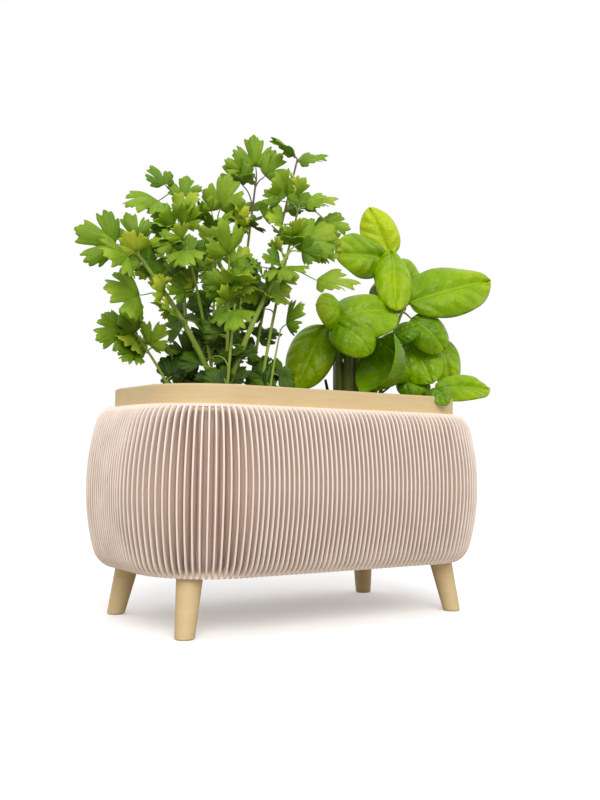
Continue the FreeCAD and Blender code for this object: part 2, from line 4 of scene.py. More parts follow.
import bpy
import numpy as np
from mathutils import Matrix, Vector


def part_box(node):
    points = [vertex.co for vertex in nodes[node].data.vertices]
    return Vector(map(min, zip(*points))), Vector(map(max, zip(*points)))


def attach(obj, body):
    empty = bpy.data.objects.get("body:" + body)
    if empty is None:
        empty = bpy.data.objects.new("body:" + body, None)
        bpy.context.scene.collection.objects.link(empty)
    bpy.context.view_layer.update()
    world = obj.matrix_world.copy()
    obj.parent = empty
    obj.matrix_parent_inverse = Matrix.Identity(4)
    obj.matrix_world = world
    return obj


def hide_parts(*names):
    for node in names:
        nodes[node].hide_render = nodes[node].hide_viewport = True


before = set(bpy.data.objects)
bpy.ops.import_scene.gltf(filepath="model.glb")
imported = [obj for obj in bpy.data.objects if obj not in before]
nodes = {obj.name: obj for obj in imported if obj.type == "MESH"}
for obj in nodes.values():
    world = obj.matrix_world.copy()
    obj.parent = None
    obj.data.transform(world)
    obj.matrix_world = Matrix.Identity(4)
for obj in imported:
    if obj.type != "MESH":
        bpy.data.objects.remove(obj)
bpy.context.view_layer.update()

# Legs: four round tapered posts, splayed outwards at the corners of the body.
# They are moulded in a tan ABS with a fine matt texture, and each is drawn up against the
# body's floor by one screw from inside.
TAN_LIT = "#d6bd8e"
TAN_DEEP = "#d1b787"
STREAK_MM = 14.0
STREAK_STRETCH = (0.35, 0.35, 3.0)
MATT_GRAIN_MM = 0.9


def linear(hex_colour):
    """Linear colour of an sRGB hex value."""
    colour = []
    for at in (1, 3, 5):
        share = int(hex_colour[at:at + 2], 16) / 255
        colour.append(share / 12.92 if share <= 0.04045 else ((share + 0.055) / 1.055) ** 2.4)
    return colour + [1.0]


def add_node(tree, kind, links, stops=(), **settings):
    """A node with its settings, with values or sockets put into its own sockets, and with the
    colours of a ramp as (place, hex colour) stops."""
    node = tree.nodes.new("ShaderNode" + kind)
    for name, value in settings.items():
        setattr(node, name, value)
    for name, value in links.items():
        if isinstance(value, bpy.types.NodeSocket):
            tree.links.new(value, node.inputs[name])
        else:
            node.inputs[name].default_value = value
    for _ in stops[2:]:
        node.color_ramp.elements.new(0.5)
    for at, (place, hex_colour) in enumerate(stops):
        node.color_ramp.elements[at].position = place
        node.color_ramp.elements[at].color = linear(hex_colour)
    return node


def new_finish(name, settings):
    """A material whose shader has the given settings, with its node tree and its shader."""
    finish = bpy.data.materials.new(name)
    finish.use_nodes = True
    shader = finish.node_tree.nodes["Principled BSDF"]
    for socket, value in settings.items():
        shader.inputs[socket].default_value = value
    return finish, finish.node_tree, shader


def per_metre(size_mm):
    """Texture scale that repeats about once in a size in millimetres."""
    return 1000 / size_mm


def paint(node_names, finish):
    """Gives CAD nodes one finish."""
    for name in node_names:
        slots = nodes[name].data.materials
        slots.clear()
        slots.append(finish)


# Matt moulded ABS: an even tan with faint flow streaks, and a sheen broken by mould texture,
# whose grain is drawn coarser than the real one so that it shows
tan_abs, tree, shader = new_finish("tan_matt_abs", {"Roughness": 0.55, "IOR": 1.53})
place = add_node(tree, "TexCoord", {}).outputs["Object"]
drawn = add_node(tree, "Mapping", {"Vector": place, "Scale": STREAK_STRETCH}).outputs["Vector"]
streak = add_node(tree, "TexNoise", {"Vector": drawn, "Scale": per_metre(STREAK_MM), "Detail": 4.0,
                                     "Roughness": 0.6}).outputs["Fac"]
grain = add_node(tree, "TexNoise", {"Vector": place, "Scale": per_metre(MATT_GRAIN_MM),
                                    "Detail": 2.0}).outputs["Fac"]
colour = add_node(tree, "ValToRGB", {"Fac": streak}, [(0.35, TAN_DEEP), (0.65, TAN_LIT)])
tree.links.new(colour.outputs["Color"], shader.inputs["Base Color"])
bump = add_node(tree, "Bump", {"Height": grain, "Strength": 0.12, "Distance": 0.0003})
tree.links.new(bump.outputs["Normal"], shader.inputs["Normal"])
paint(["leg_front_left", "leg_front_right", "leg_rear_left", "leg_rear_right"], tan_abs)

# Leg screws and washers: one pan-head screw and one flat washer hold each leg from inside.
# They are zinc-plated steel, bright with a faint cloudy bloom, and are seen only when the
# liner is lifted out.
ZINC_BRIGHT = "#c9cccf"
ZINC_DULL = "#a9adb1"
ZINC_BLOOM_MM = 3.0
zinc, tree, shader = new_finish("zinc_plated_steel", {"Metallic": 1.0})
place = add_node(tree, "TexCoord", {}).outputs["Object"]
bloom = add_node(tree, "TexNoise", {"Vector": place, "Scale": per_metre(ZINC_BLOOM_MM),
                                    "Detail": 3.0}).outputs["Fac"]
colour = add_node(tree, "ValToRGB", {"Fac": bloom}, [(0.35, ZINC_DULL), (0.65, ZINC_BRIGHT)])
tree.links.new(colour.outputs["Color"], shader.inputs["Base Color"])
dull = add_node(tree, "MapRange", {"Value": bloom, "To Min": 0.28, "To Max": 0.45})
tree.links.new(dull.outputs["Result"], shader.inputs["Roughness"])
paint(["leg_screws", "leg_washers"], zinc)

# Pleated shell: one body moulded in a pale blush plastic, matt all over. Thin upright pleats
# stand round it side by side, swell in a belly between two round shoulders and end on a plain
# lip at the top and at the bottom. Inside is a plain well with a flat floor.
MM = 0.001
EDGE_LENGTH, EDGE_WIDTH, EDGE_CORNER = 280.0, 150.0, 51.0
LONG_PLEATS, SHORT_PLEATS, CORNER_PLEATS = 43, 12, 21
BODY_BOTTOM, BODY_HEIGHT = 41.8, 121.2
BELLY_RISE, END_RISE, GROOVE_RISE, LIP_RISE = 20.8, 5.0, 3.0, 4.5
SHOULDER_RADIUS, SHOULDER_ANGLE = 20.0, math.radians(60)
PLEAT_THICKNESS, LEAST_STAND = 1.4, 0.02
WALL, FLOOR_THICKNESS = 2.5, 4.0
LIP_HEIGHT, LIP_MIDDLE, LIP_STEP, LIP_ROUND, MOUTH_ROUND = 2.0, 0.9, 0.4, 0.6, 0.4
UNDERSIDE_INSET = 24.0
HALF = BODY_HEIGHT / 2
MIDDLE = BODY_BOTTOM + HALF
# Heights over the middle where the section has points, closer together round the shoulders
SECTION_UPS = [HALF, HALF - LIP_MIDDLE, HALF - LIP_HEIGHT, HALF - LIP_HEIGHT - LIP_STEP,
               56.5, 54.0, 50.5, 46.0, 40.0, 33.0, 25.5, 17.0, 8.5, 0.0]
# Each point of a pleat: share of the pitch, share of the plate's thickness, depth under its edge
ROOT_SHARE = 0.24
PLEAT_POINTS = [
    (-0.5, 0.0, None), (-ROOT_SHARE, 0.0, None), (0.0, -0.5, 0.55), (0.0, -0.32, 0.12),
    (0.0, 0.0, 0.0), (0.0, 0.32, 0.12), (0.0, 0.5, 0.55), (ROOT_SHARE, 0.0, None),
]
MERGE_MM = 0.01
LIP_SHADE = 0.3


def ridge_rise(up):
    """How far a pleat's edge stands out at a height above the middle: belly arc and shoulder arcs."""
    shoulder_out = END_RISE - SHOULDER_RADIUS * math.cos(SHOULDER_ANGLE)
    shoulder_up = HALF - SHOULDER_RADIUS * math.sin(SHOULDER_ANGLE)
    inset = shoulder_out - BELLY_RISE
    belly = (SHOULDER_RADIUS ** 2 - inset ** 2 - shoulder_up ** 2) / (2 * (inset + SHOULDER_RADIUS))
    meet = belly * math.sin(math.atan2(shoulder_up, inset + belly))
    if abs(up) <= meet:
        return BELLY_RISE - belly + math.sqrt(belly ** 2 - up ** 2)
    return shoulder_out + math.sqrt(SHOULDER_RADIUS ** 2 - (abs(up) - shoulder_up) ** 2)


def shell_stations():
    """Eight stations for each pleat, in turn round the body: a start, the way out, and a pleat's point."""
    run_x = EDGE_LENGTH - 2 * EDGE_CORNER
    run_y = EDGE_WIDTH - 2 * EDGE_CORNER
    sides = [(-run_x / 2, -run_y / 2, 0, run_x, LONG_PLEATS),
             (run_x / 2, -run_y / 2, 90, run_y, SHORT_PLEATS),
             (run_x / 2, run_y / 2, 180, run_x, LONG_PLEATS),
             (-run_x / 2, run_y / 2, 270, run_y, SHORT_PLEATS)]
    stations = []
    for start_x, start_y, heading, run, count in sides:
        along_x = math.cos(math.radians(heading))
        along_y = math.sin(math.radians(heading))
        for index in range(count):
            for share, aside, back in PLEAT_POINTS:
                step = run * (index + 0.5 + share) / count
                x = start_x + along_x * step
                y = start_y + along_y * step
                stations.append((x, y, heading - 90, aside, back))
        corner_x = start_x + along_x * run
        corner_y = start_y + along_y * run
        for index in range(CORNER_PLEATS):
            for share, aside, back in PLEAT_POINTS:
                turn = 90 * (index + 0.5 + share) / CORNER_PLEATS
                stations.append((corner_x, corner_y, heading - 90 + turn, aside, back))
    return stations


def shell_rows():
    """The body's section from its underside over the pleats to the well's floor, as heights with a
    level rise, or with None where the pleats stand."""
    top = BODY_BOTTOM + BODY_HEIGHT
    well = BODY_BOTTOM + FLOOR_THICKNESS
    outside = [-up for up in SECTION_UPS] + SECTION_UPS[-2::-1]
    rows = [(BODY_BOTTOM, -UNDERSIDE_INSET), (BODY_BOTTOM, -WALL), (BODY_BOTTOM, LIP_RISE - LIP_ROUND)]
    rows += [(MIDDLE + up, None) for up in outside]
    rows += [(top, LIP_RISE - LIP_ROUND), (top, -WALL + MOUTH_ROUND), (top - MOUTH_ROUND, -WALL)]
    rows += [(well, -WALL), (well, -UNDERSIDE_INSET)]
    return rows


def shell_shape(u, v):
    """Wraps the sheet round the outline: across it the stations, along it the section's rows."""
    stations = shell_stations()
    rows = shell_rows()
    columns = np.rint(u * len(stations)).astype(int) % len(stations)
    lines = np.rint(v * (len(rows) - 1)).astype(int)
    points = np.empty((len(u), 3))
    for at, (column, line) in enumerate(zip(columns, lines)):
        x, y, heading, aside, back = stations[column]
        height, rise = rows[line]
        shift = 0.0
        if rise is None:
            up = height - MIDDLE
            level = LIP_RISE if abs(up) > HALF - LIP_HEIGHT - LIP_STEP / 2 else GROOVE_RISE
            rise = level if back is None else max(ridge_rise(up) - back, level + LEAST_STAND)
            shift = aside * PLEAT_THICKNESS
        out = math.radians(heading)
        points[at] = (x + math.cos(out) * (EDGE_CORNER + rise) - math.sin(out) * shift,
                      y + math.sin(out) * (EDGE_CORNER + rise) + math.cos(out) * shift, height)
    return points * MM


def shaped_sheet(name, columns, rows, shape):
    """A flat grid whose points are moved to where shape(u, v) puts them, with u and v from 0 to 1."""
    bpy.ops.object.select_all(action="DESELECT")
    bpy.ops.mesh.primitive_grid_add(x_subdivisions=columns, y_subdivisions=rows, size=1, location=(0, 0, 0))
    sheet = bpy.context.object
    sheet.name = name
    sheet.data.name = name
    points = np.empty(len(sheet.data.vertices) * 3)
    sheet.data.vertices.foreach_get("co", points)
    points = points.reshape(-1, 3)
    sheet.data.vertices.foreach_set("co", shape(points[:, 0] + 0.5, points[:, 1] + 0.5).ravel())
    return sheet


def close_up(piece, fill):
    """Merges the points of seams and poles, fills what holes are left if asked, and turns the
    faces outwards."""
    bpy.ops.object.mode_set(mode="EDIT")
    bpy.ops.mesh.select_all(action="SELECT")
    bpy.ops.mesh.remove_doubles(threshold=MERGE_MM * MM)
    if fill:
        bpy.ops.mesh.fill_holes(sides=0)
        bpy.ops.mesh.select_all(action="SELECT")
    bpy.ops.mesh.normals_make_consistent(inside=False)
    bpy.ops.object.mode_set(mode="OBJECT")
    return piece


def mark_pleat_shade(piece):
    """Marks each point of the pleats with its depth below the pleats' edge, less near the lips,
    from 0 to 1, as the mask of the shade painted into the grooves."""
    points = np.empty(len(piece.data.vertices) * 3)
    piece.data.vertices.foreach_get("co", points)
    x, y, z = points.reshape(-1, 3).T / MM
    past_x = np.maximum(np.abs(x) - (EDGE_LENGTH / 2 - EDGE_CORNER), 0)
    past_y = np.maximum(np.abs(y) - (EDGE_WIDTH / 2 - EDGE_CORNER), 0)
    rise = np.hypot(past_x, past_y) - EDGE_CORNER
    ridge = np.array([ridge_rise(max(-HALF, min(HALF, up))) for up in z - MIDDLE])
    # The painted shade eases off towards the lips
    to_lip = np.maximum(HALF - np.abs(z - MIDDLE) - LIP_HEIGHT, 0)
    pleat_shade = np.minimum(ridge - rise, to_lip * LIP_SHADE) / (BELLY_RISE - GROOVE_RISE)
    pleat_shade = np.where(rise > 0, np.clip(pleat_shade, 0, 1), 0)
    marks = piece.data.attributes.new("pleat_shade", "FLOAT", "POINT")
    marks.data.foreach_set("value", pleat_shade)


shell = shaped_sheet("pleated_body", len(shell_stations()), len(shell_rows()) - 1, shell_shape)
close_up(shell, True)
mark_pleat_shade(shell)
bpy.ops.object.shade_smooth_by_angle(angle=math.radians(40))

# Matt blush polypropylene: very pale and warm, with painted shade on the pleats' flanks just
# under their edges and down the grooves, and with its mould grain drawn coarser than the real one so that it
# shows
BLUSH = "#f8e7da"
# Painted shade tones of the blush: just under the pleats' edges, further in, and deep in the grooves
BLUSH_FLANK_SHADE = "#b9a697"
BLUSH_INNER_SHADE = "#e3cdbf"
BLUSH_DEEP_SHADE = "#efddd1"
BLUSH_CLOUD_MM, BLUSH_CLOUD_SHARE = 22.0, 0.05
BLUSH_GRAIN_MM = 0.8
blush, tree, shader = new_finish("blush_matt_polypropylene", {"Roughness": 0.6, "IOR": 1.49})
place = add_node(tree, "TexCoord", {}).outputs["Object"]
pleat_shade = add_node(tree, "Attribute", {}, attribute_name="pleat_shade").outputs["Fac"]
cloud = add_node(tree, "TexNoise", {"Vector": place, "Scale": per_metre(BLUSH_CLOUD_MM),
                                    "Detail": 3.0}).outputs["Fac"]
grain = add_node(tree, "TexNoise", {"Vector": place, "Scale": per_metre(BLUSH_GRAIN_MM),
                                    "Detail": 2.0}).outputs["Fac"]
# Painted shade: the ramp darkens the blush on the pleats' flanks and down the grooves by each point's mark,
# over a faint random cloud of tone
cloud_and_shade = add_node(tree, "Math", {0: cloud, 1: BLUSH_CLOUD_SHARE, 2: pleat_shade}, operation="MULTIPLY_ADD")
colour = add_node(tree, "ValToRGB", {"Fac": cloud_and_shade.outputs["Value"]},
                  [(0.035, BLUSH), (0.09, BLUSH_FLANK_SHADE), (0.24, BLUSH_INNER_SHADE), (0.9, BLUSH_DEEP_SHADE)])
tree.links.new(colour.outputs["Color"], shader.inputs["Base Color"])
bump = add_node(tree, "Bump", {"Height": grain, "Strength": 0.1, "Distance": 0.0002})
tree.links.new(bump.outputs["Normal"], shader.inputs["Normal"])
shell.data.materials.append(blush)
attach(shell, "stand")
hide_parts("pleated_shell")

# Liner: a thin-walled tub of the same tan ABS as the legs. It hangs in the shell by its plain
# rim band, which is all of it that shows from outside.
paint(["liner"], tan_abs)

# Nursery pots: two thin vacuum-formed pots of black polypropylene that stand in the liner.
# They are dull black with a faint dusty bloom.
POT_BLACK = "#17181a"
POT_DUST = "#2b2a28"
POT_DUST_MM = 9.0
pot_plastic, tree, shader = new_finish("black_formed_polypropylene", {"Roughness": 0.42, "IOR": 1.49})
place = add_node(tree, "TexCoord", {}).outputs["Object"]
dust = add_node(tree, "TexNoise", {"Vector": place, "Scale": per_metre(POT_DUST_MM),
                                   "Detail": 5.0}).outputs["Fac"]
colour = add_node(tree, "ValToRGB", {"Fac": dust}, [(0.4, POT_BLACK), (0.75, POT_DUST)])
tree.links.new(colour.outputs["Color"], shader.inputs["Base Color"])
paint(["coriander_pot", "basil_pot"], pot_plastic)

# Soil: dark crumbly potting earth that fills each nursery pot to a little under its rim.
# Its top is lumpy, and loose crumbs of peat lie on it.
SOIL_DARK = "#1d140d"
SOIL_BROWN = "#4a3524"
CLOD_MM = 3.5
POT_TOP_RADIUS, POT_BASE_RADIUS, POT_HEIGHT = 58.0, 44.0, 104.0
# The sheet of a plug: where its top and its side end, how far in the lumps fade, and its grid
TOP_SHARE, SIDE_SHARE, FADE_SHARE = 0.8, 0.9, 0.1
PLUG_COLUMNS, PLUG_ROWS = 72, 30
ANY_PHASE = (0, 6.28)
# Each wave of the lumpy top: height in millimetres, and its runs in radians per metre
LUMPS = [(1.0, 300, 330), (0.7, 610, 570), (0.5, 1230, 1130)]
CRUMBS, CRUMB_MARGIN, CRUMB_LIFT = 110, 3.0, 0.3
CRUMB_SIZES, CRUMB_DENTS = (0.6, 2.0), (0.6, 1.1)
soil_earth, tree, shader = new_finish("peat_potting_earth", {"Roughness": 0.95})
place = add_node(tree, "TexCoord", {}).outputs["Object"]
clod = add_node(tree, "TexNoise", {"Vector": place, "Scale": per_metre(CLOD_MM), "Detail": 6.0,
                                   "Roughness": 0.7}).outputs["Fac"]
colour = add_node(tree, "ValToRGB", {"Fac": clod}, [(0.35, SOIL_DARK), (0.7, SOIL_BROWN)])
tree.links.new(colour.outputs["Color"], shader.inputs["Base Color"])
bump = add_node(tree, "Bump", {"Height": clod, "Strength": 0.7, "Distance": 0.001})
tree.links.new(bump.outputs["Normal"], shader.inputs["Normal"])


def join_pieces(pieces, name):
    """Joins meshes into the first one."""
    bpy.ops.object.select_all(action="DESELECT")
    for piece in pieces:
        piece.select_set(True)
    bpy.context.view_layer.objects.active = pieces[0]
    bpy.ops.object.join()
    pieces[0].name = name
    pieces[0].data.name = name
    return pieces[0]


def soil_plug(herb, seed):
    """The earth of one pot: a lumpy top, the side down the pot's taper, and the underside, then crumbs."""
    low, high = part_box(herb + "_soil")
    centre_x = (low.x + high.x) / 2
    top_radius = (high.x - low.x) / 2
    taper = (POT_TOP_RADIUS - POT_BASE_RADIUS) / POT_HEIGHT
    chance = random.Random(seed)
    phases = [[chance.uniform(*ANY_PHASE) for _ in range(2)] for _ in LUMPS]

    def shape(u, v):
        turn = u * 2 * math.pi
        reach = np.interp(v, [0, TOP_SHARE, SIDE_SHARE, 1], [0, 1, 1, 0])
        down = np.interp(v, [0, TOP_SHARE, SIDE_SHARE, 1], [0, 0, 1, 1])
        radius = reach * (top_radius - down * (high.z - low.z) * taper)
        x = np.cos(turn) * radius
        y = np.sin(turn) * radius
        lumps = 0
        for (height, run_x, run_y), (phase_x, phase_y) in zip(LUMPS, phases):
            lumps = lumps + height * np.sin(x * run_x + phase_x) * np.sin(y * run_y + phase_y)
        fade = np.clip((TOP_SHARE - v) / FADE_SHARE, 0, 1)
        z = high.z - down * (high.z - low.z) + lumps * fade * MM
        return np.stack([centre_x + x, y, z], axis=1)

    plug = shaped_sheet(herb + "_earth", PLUG_COLUMNS, PLUG_ROWS, shape)
    close_up(plug, False)
    bpy.ops.object.shade_smooth_by_angle(angle=math.radians(50))
    pieces = [plug]
    bpy.ops.object.select_all(action="DESELECT")
    bpy.ops.mesh.primitive_ico_sphere_add(subdivisions=1, radius=1, location=(0, 0, 0))
    crumb = bpy.context.object
    for _ in range(CRUMBS):
        piece = crumb.copy()
        piece.data = crumb.data.copy()
        bpy.context.collection.objects.link(piece)
        turn = chance.uniform(0, 2 * math.pi)
        reach = math.sqrt(chance.random()) * (top_radius - CRUMB_MARGIN * MM)
        size = chance.uniform(*CRUMB_SIZES) * MM
        corners = [Vector(vertex.co) * size * chance.uniform(*CRUMB_DENTS) for vertex in piece.data.vertices]
        spot = Vector((centre_x + math.cos(turn) * reach, math.sin(turn) * reach, high.z + size * CRUMB_LIFT))
        for vertex, corner in zip(piece.data.vertices, corners):
            vertex.co = spot + corner
        pieces.append(piece)
    bpy.data.objects.remove(crumb)
    plug = join_pieces(pieces, herb + "_earth")
    plug.data.materials.append(soil_earth)
    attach(plug, herb)
    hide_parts(herb + "_soil")


soil_plug("coriander", 5)
soil_plug("basil", 6)

# Coriander: a bushy plant of thin upright stalks that lean out from the middle of its pot.
# Side stalks carry fan-shaped leaves cut into three lobes with round teeth, thin and matt,
# in many greens up to yellow-green at the bush's edge, with painted shade darkening the leaves inside the
# bush.
SOIL_TOP = 144.3
CORIANDER_MIDDLE = Vector((-68.0, 0.0, SOIL_TOP))
FRONT = (-0.5, -0.8, 0.3)
TOP = (-0.25, -0.45, 0.85)
REAR = (0.3, 0.85, 0.35)
# Each stalk, from the middle of the soil's top: root, tip, diameter
CORIANDER_STALKS = [
    ((10, -6), (-79, -16, 130), 4.4),
    ((-4, -20), (-16, -42, 128), 2.6),
    ((14, 6), (34, 4, 210), 2.6),
    ((-12, -16), (28, -56, 138), 4.2),
    ((20, -22), (44, -46, 180), 2.4),
    ((-16, 14), (-30, 20, 188), 2.6),
    ((2, 18), (2, 10, 174), 2.2),
    ((22, -2), (53, -28, 221), 2.4),
    ((-20, 12), (-68, 18, 80), 2.4),
    ((0, -4), (-44, -26, 142), 2.4),
    ((-12, -32), (-16, -52, 94), 2.2),
    ((22, -34), (34, -36, 80), 2.0),
]
# Each leaf: stalk, share of the stalk's length, tip, blade length, width, facing, arch, tone; the low tones
# of leaves deep in the bush are painted shade
CORIANDER_LEAVES = [
    (1, 1.0, (-119, 5, 146), 32, 39, FRONT, 0.10, 0.55),
    (1, 0.98, (-114, -36, 118), 30, 36, FRONT, 0.12, 0.6),
    (1, 0.90, (-82, -2, 162), 24, 26, FRONT, 0.10, 0.5),
    (1, 0.72, (-104, -14, 100), 30, 39, FRONT, 0.12, 0.6),
    (1, 0.80, (-62, -16, 116), 16, 18, FRONT, 0.10, 0.85),
    (1, 0.66, (-64, -20, 92), 14, 16, FRONT, 0.10, 0.9),
    (2, 1.0, (-32, -52, 156), 30, 34, FRONT, 0.12, 0.6),
    (2, 0.90, (0, -42, 140), 18, 22, FRONT, 0.12, 0.7),
    (2, 0.82, (-34, -38, 118), 22, 24, FRONT, 0.12, 0.5),
    (3, 1.0, (33, 8, 247), 28, 34, FRONT, 0.10, 0.55),
    (3, 0.96, (48, -16, 228), 24, 31, FRONT, 0.12, 0.6),
    (3, 0.88, (14, 16, 226), 22, 26, FRONT, 0.10, 0.5),
    (3, 0.62, (28, 10, 152), 26, 26, FRONT, 0.12, 0.25),
    (3, 0.45, (42, 20, 118), 30, 28, FRONT, 0.12, 0.2),
    (3, 0.80, (36, 38, 190), 26, 28, REAR, 0.12, 0.5),
    (3, 0.60, (42, 38, 150), 24, 26, REAR, 0.12, 0.45),
    (4, 1.0, (64, -66, 160), 28, 34, FRONT, 0.12, 0.65),
    (4, 0.92, (18, -74, 110), 26, 34, FRONT, 0.14, 0.55),
    (4, 0.86, (75, -84, 112), 34, 29, (-0.3, -0.6, 0.75), 0.14, 0.7),
    (4, 0.80, (14, -46, 112), 24, 24, FRONT, 0.14, 0.35),
    (5, 1.0, (70, -62, 182), 26, 26, TOP, 0.12, 0.65),
    (5, 0.90, (74, -60, 148), 24, 31, FRONT, 0.12, 0.6),
    (5, 0.82, (68, -66, 136), 17, 18, FRONT, 0.10, 0.7),
    (5, 0.80, (46, -38, 168), 18, 20, FRONT, 0.12, 0.7),
    (5, 0.97, (80, -64, 160), 20, 18, FRONT, 0.10, 0.6),
    (6, 1.0, (-77, 12, 168), 34, 34, TOP, 0.14, 0.6),
    (6, 0.985, (-42, 46, 216), 24, 23, FRONT, 0.12, 0.45),
    (6, 0.92, (-14, 34, 210), 22, 26, FRONT, 0.10, 0.5),
    (6, 0.82, (-58, -6, 168), 26, 31, FRONT, 0.12, 0.6),
    (6, 0.75, (-61, -20, 139), 28, 28, FRONT, 0.14, 0.45),
    (6, 0.86, (-66, -10, 152), 26, 24, TOP, 0.12, 0.55),
    (6, 0.62, (-34, 10, 132), 24, 26, FRONT, 0.12, 0.2),
    (6, 0.30, (-24, 12, 82), 28, 26, FRONT, 0.12, 0.15),
    (6, 0.60, (-40, 42, 140), 26, 28, REAR, 0.12, 0.5),
    (6, 0.40, (-26, 42, 96), 24, 26, REAR, 0.12, 0.4),
    (7, 1.0, (8, 0, 208), 30, 36, FRONT, 0.12, 0.6),
    (7, 0.93, (-16, 0, 174), 20, 23, TOP, 0.12, 0.55),
    (7, 0.85, (-14, -5, 186), 13, 14, FRONT, 0.10, 0.65),
    (7, 0.90, (18, -14, 180), 16, 18, FRONT, 0.10, 0.9),
    (7, 0.42, (-12, 15, 98), 28, 28, FRONT, 0.12, 0.15),
    (7, 0.60, (8, 30, 128), 30, 30, FRONT, 0.12, 0.2),
    (7, 0.75, (6, 44, 150), 26, 28, REAR, 0.12, 0.5),
    (7, 0.35, (14, 42, 84), 24, 26, REAR, 0.12, 0.35),
    (8, 1.0, (25, -30, 232), 26, 22, (-0.15, -0.25, 0.95), 0.12, 0.5),
    (8, 0.99, (78, -36, 225), 26, 22, (-0.2, -0.4, 0.9), 0.12, 0.55),
    (8, 0.84, (54, -40, 204), 22, 22, FRONT, 0.12, 0.6),
    (8, 0.86, (22, -36, 198), 24, 31, FRONT, 0.12, 0.65),
    (8, 0.80, (64, -26, 186), 18, 18, FRONT, 0.10, 0.6),
    (8, 0.50, (60, 24, 118), 28, 26, FRONT, 0.12, 0.2),
    (8, 0.35, (56, 6, 86), 26, 24, FRONT, 0.12, 0.2),
    (9, 1.0, (-98, 14, 66), 26, 29, FRONT, 0.14, 0.55),
    (9, 0.80, (-80, 4, 50), 20, 21, FRONT, 0.12, 0.5),
    (9, 0.95, (-75, 10, 92), 15, 18, FRONT, 0.10, 0.6),
    (9, 0.45, (-20, 16, 62), 24, 26, FRONT, 0.12, 0.12),
    (9, 0.90, (-62, 44, 100), 24, 26, REAR, 0.12, 0.5),
    (10, 0.97, (-54, -44, 116), 26, 28, FRONT, 0.14, 0.6),
    (10, 0.50, (-72, -30, 92), 28, 29, TOP, 0.12, 0.5),
    (10, 0.95, (-32, -8, 150), 20, 24, FRONT, 0.12, 0.35),
    (11, 0.97, (-23, -65, 70), 24, 27, FRONT, 0.14, 0.5),
    (11, 0.50, (-22, 20, 60), 26, 28, FRONT, 0.14, 0.12),
    (11, 0.35, (-26, 10, 62), 22, 24, FRONT, 0.12, 0.2),
    (12, 1.0, (42, -60, 98), 24, 31, FRONT, 0.12, 0.5),
    (12, 0.40, (24, -18, 58), 20, 22, FRONT, 0.12, 0.2),
]
UPRIGHT_SHARE = 0.35
STALK_TAPER = (1.15, 1.05, 1.0, 0.85, 0.6)
PETIOLE_TAPER = (1.15, 1.0, 0.8, 0.4)
# A side stalk bows from its stalk's way towards its blade's, and runs a little into the blade
PETIOLE_BOW, BLADE_BOW, RUN_IN = 0.6, 0.4, 0.12
LEAF_TILT = (-0.1, 0.1)
WAVE_HEIGHT, WAVES_ACROSS, WAVES_ALONG = 0.03, 8, 6
# Painted shade along each leaf: its tone is darker towards the base and paler towards the tip, unchanged at
# this share of its length
BASE_SHADE_SLOPE, BASE_SHADE_EVEN_AT = 0.2, 0.6
SEED_STEP = 7


def stalk_place(middle, root, tip, share):
    """A point of a stalk at a share of its length, and the way that it runs there: it leans from
    root to tip, and is drawn a little towards an even bend that starts upright."""
    foot = middle + Vector((*root, 0))
    rise = middle + Vector(tip) - foot
    level = Vector((rise.x, rise.y, 0))
    out = level.normalized()
    radius = (level.length ** 2 + rise.z ** 2) / (2 * level.length)
    angle = 2 * math.atan2(level.length, rise.z) * share
    bend = out * (radius - radius * math.cos(angle)) + Vector((0, 0, radius * math.sin(angle)))
    way = out * math.sin(angle) + Vector((0, 0, math.cos(angle)))
    point = foot + (rise * share).lerp(bend, UPRIGHT_SHARE)
    return point, rise.normalized().lerp(way, UPRIGHT_SHARE).normalized()


def stalk_line(middle, root, tip):
    """Even points along a stalk, from the soil to its tip, one for each step of its taper."""
    last = len(STALK_TAPER) - 1
    return [stalk_place(middle, root, tip, step / last)[0] for step in range(last + 1)]


def add_run(curve, points, radii):
    """One smooth round run of a stalk, through points in millimetres, with a radius at each."""
    run = curve.splines.new("NURBS")
    run.points.add(len(points) - 1)
    for knot, point, radius in zip(run.points, points, radii):
        knot.co = (*(point * MM), 1)
        knot.radius = radius
    run.order_u = 3
    run.use_endpoint_u = True
    run.resolution_u = 8


def stalk_mesh(name, runs, finish):
    """The runs of one stalk as round tubes, made a mesh."""
    curve = bpy.data.curves.new(name, "CURVE")
    curve.dimensions = "3D"
    curve.bevel_depth = MM
    curve.bevel_resolution = 2
    curve.use_fill_caps = True
    for points, radii in runs:
        add_run(curve, points, radii)
    stalk = bpy.data.objects.new(name, curve)
    bpy.context.collection.objects.link(stalk)
    bpy.ops.object.select_all(action="DESELECT")
    stalk.select_set(True)
    bpy.context.view_layer.objects.active = stalk
    bpy.ops.object.convert(target="MESH")
    stalk = bpy.context.object
    stalk.data.materials.clear()
    stalk.data.materials.append(finish)
    bpy.ops.object.shade_smooth()
    return stalk


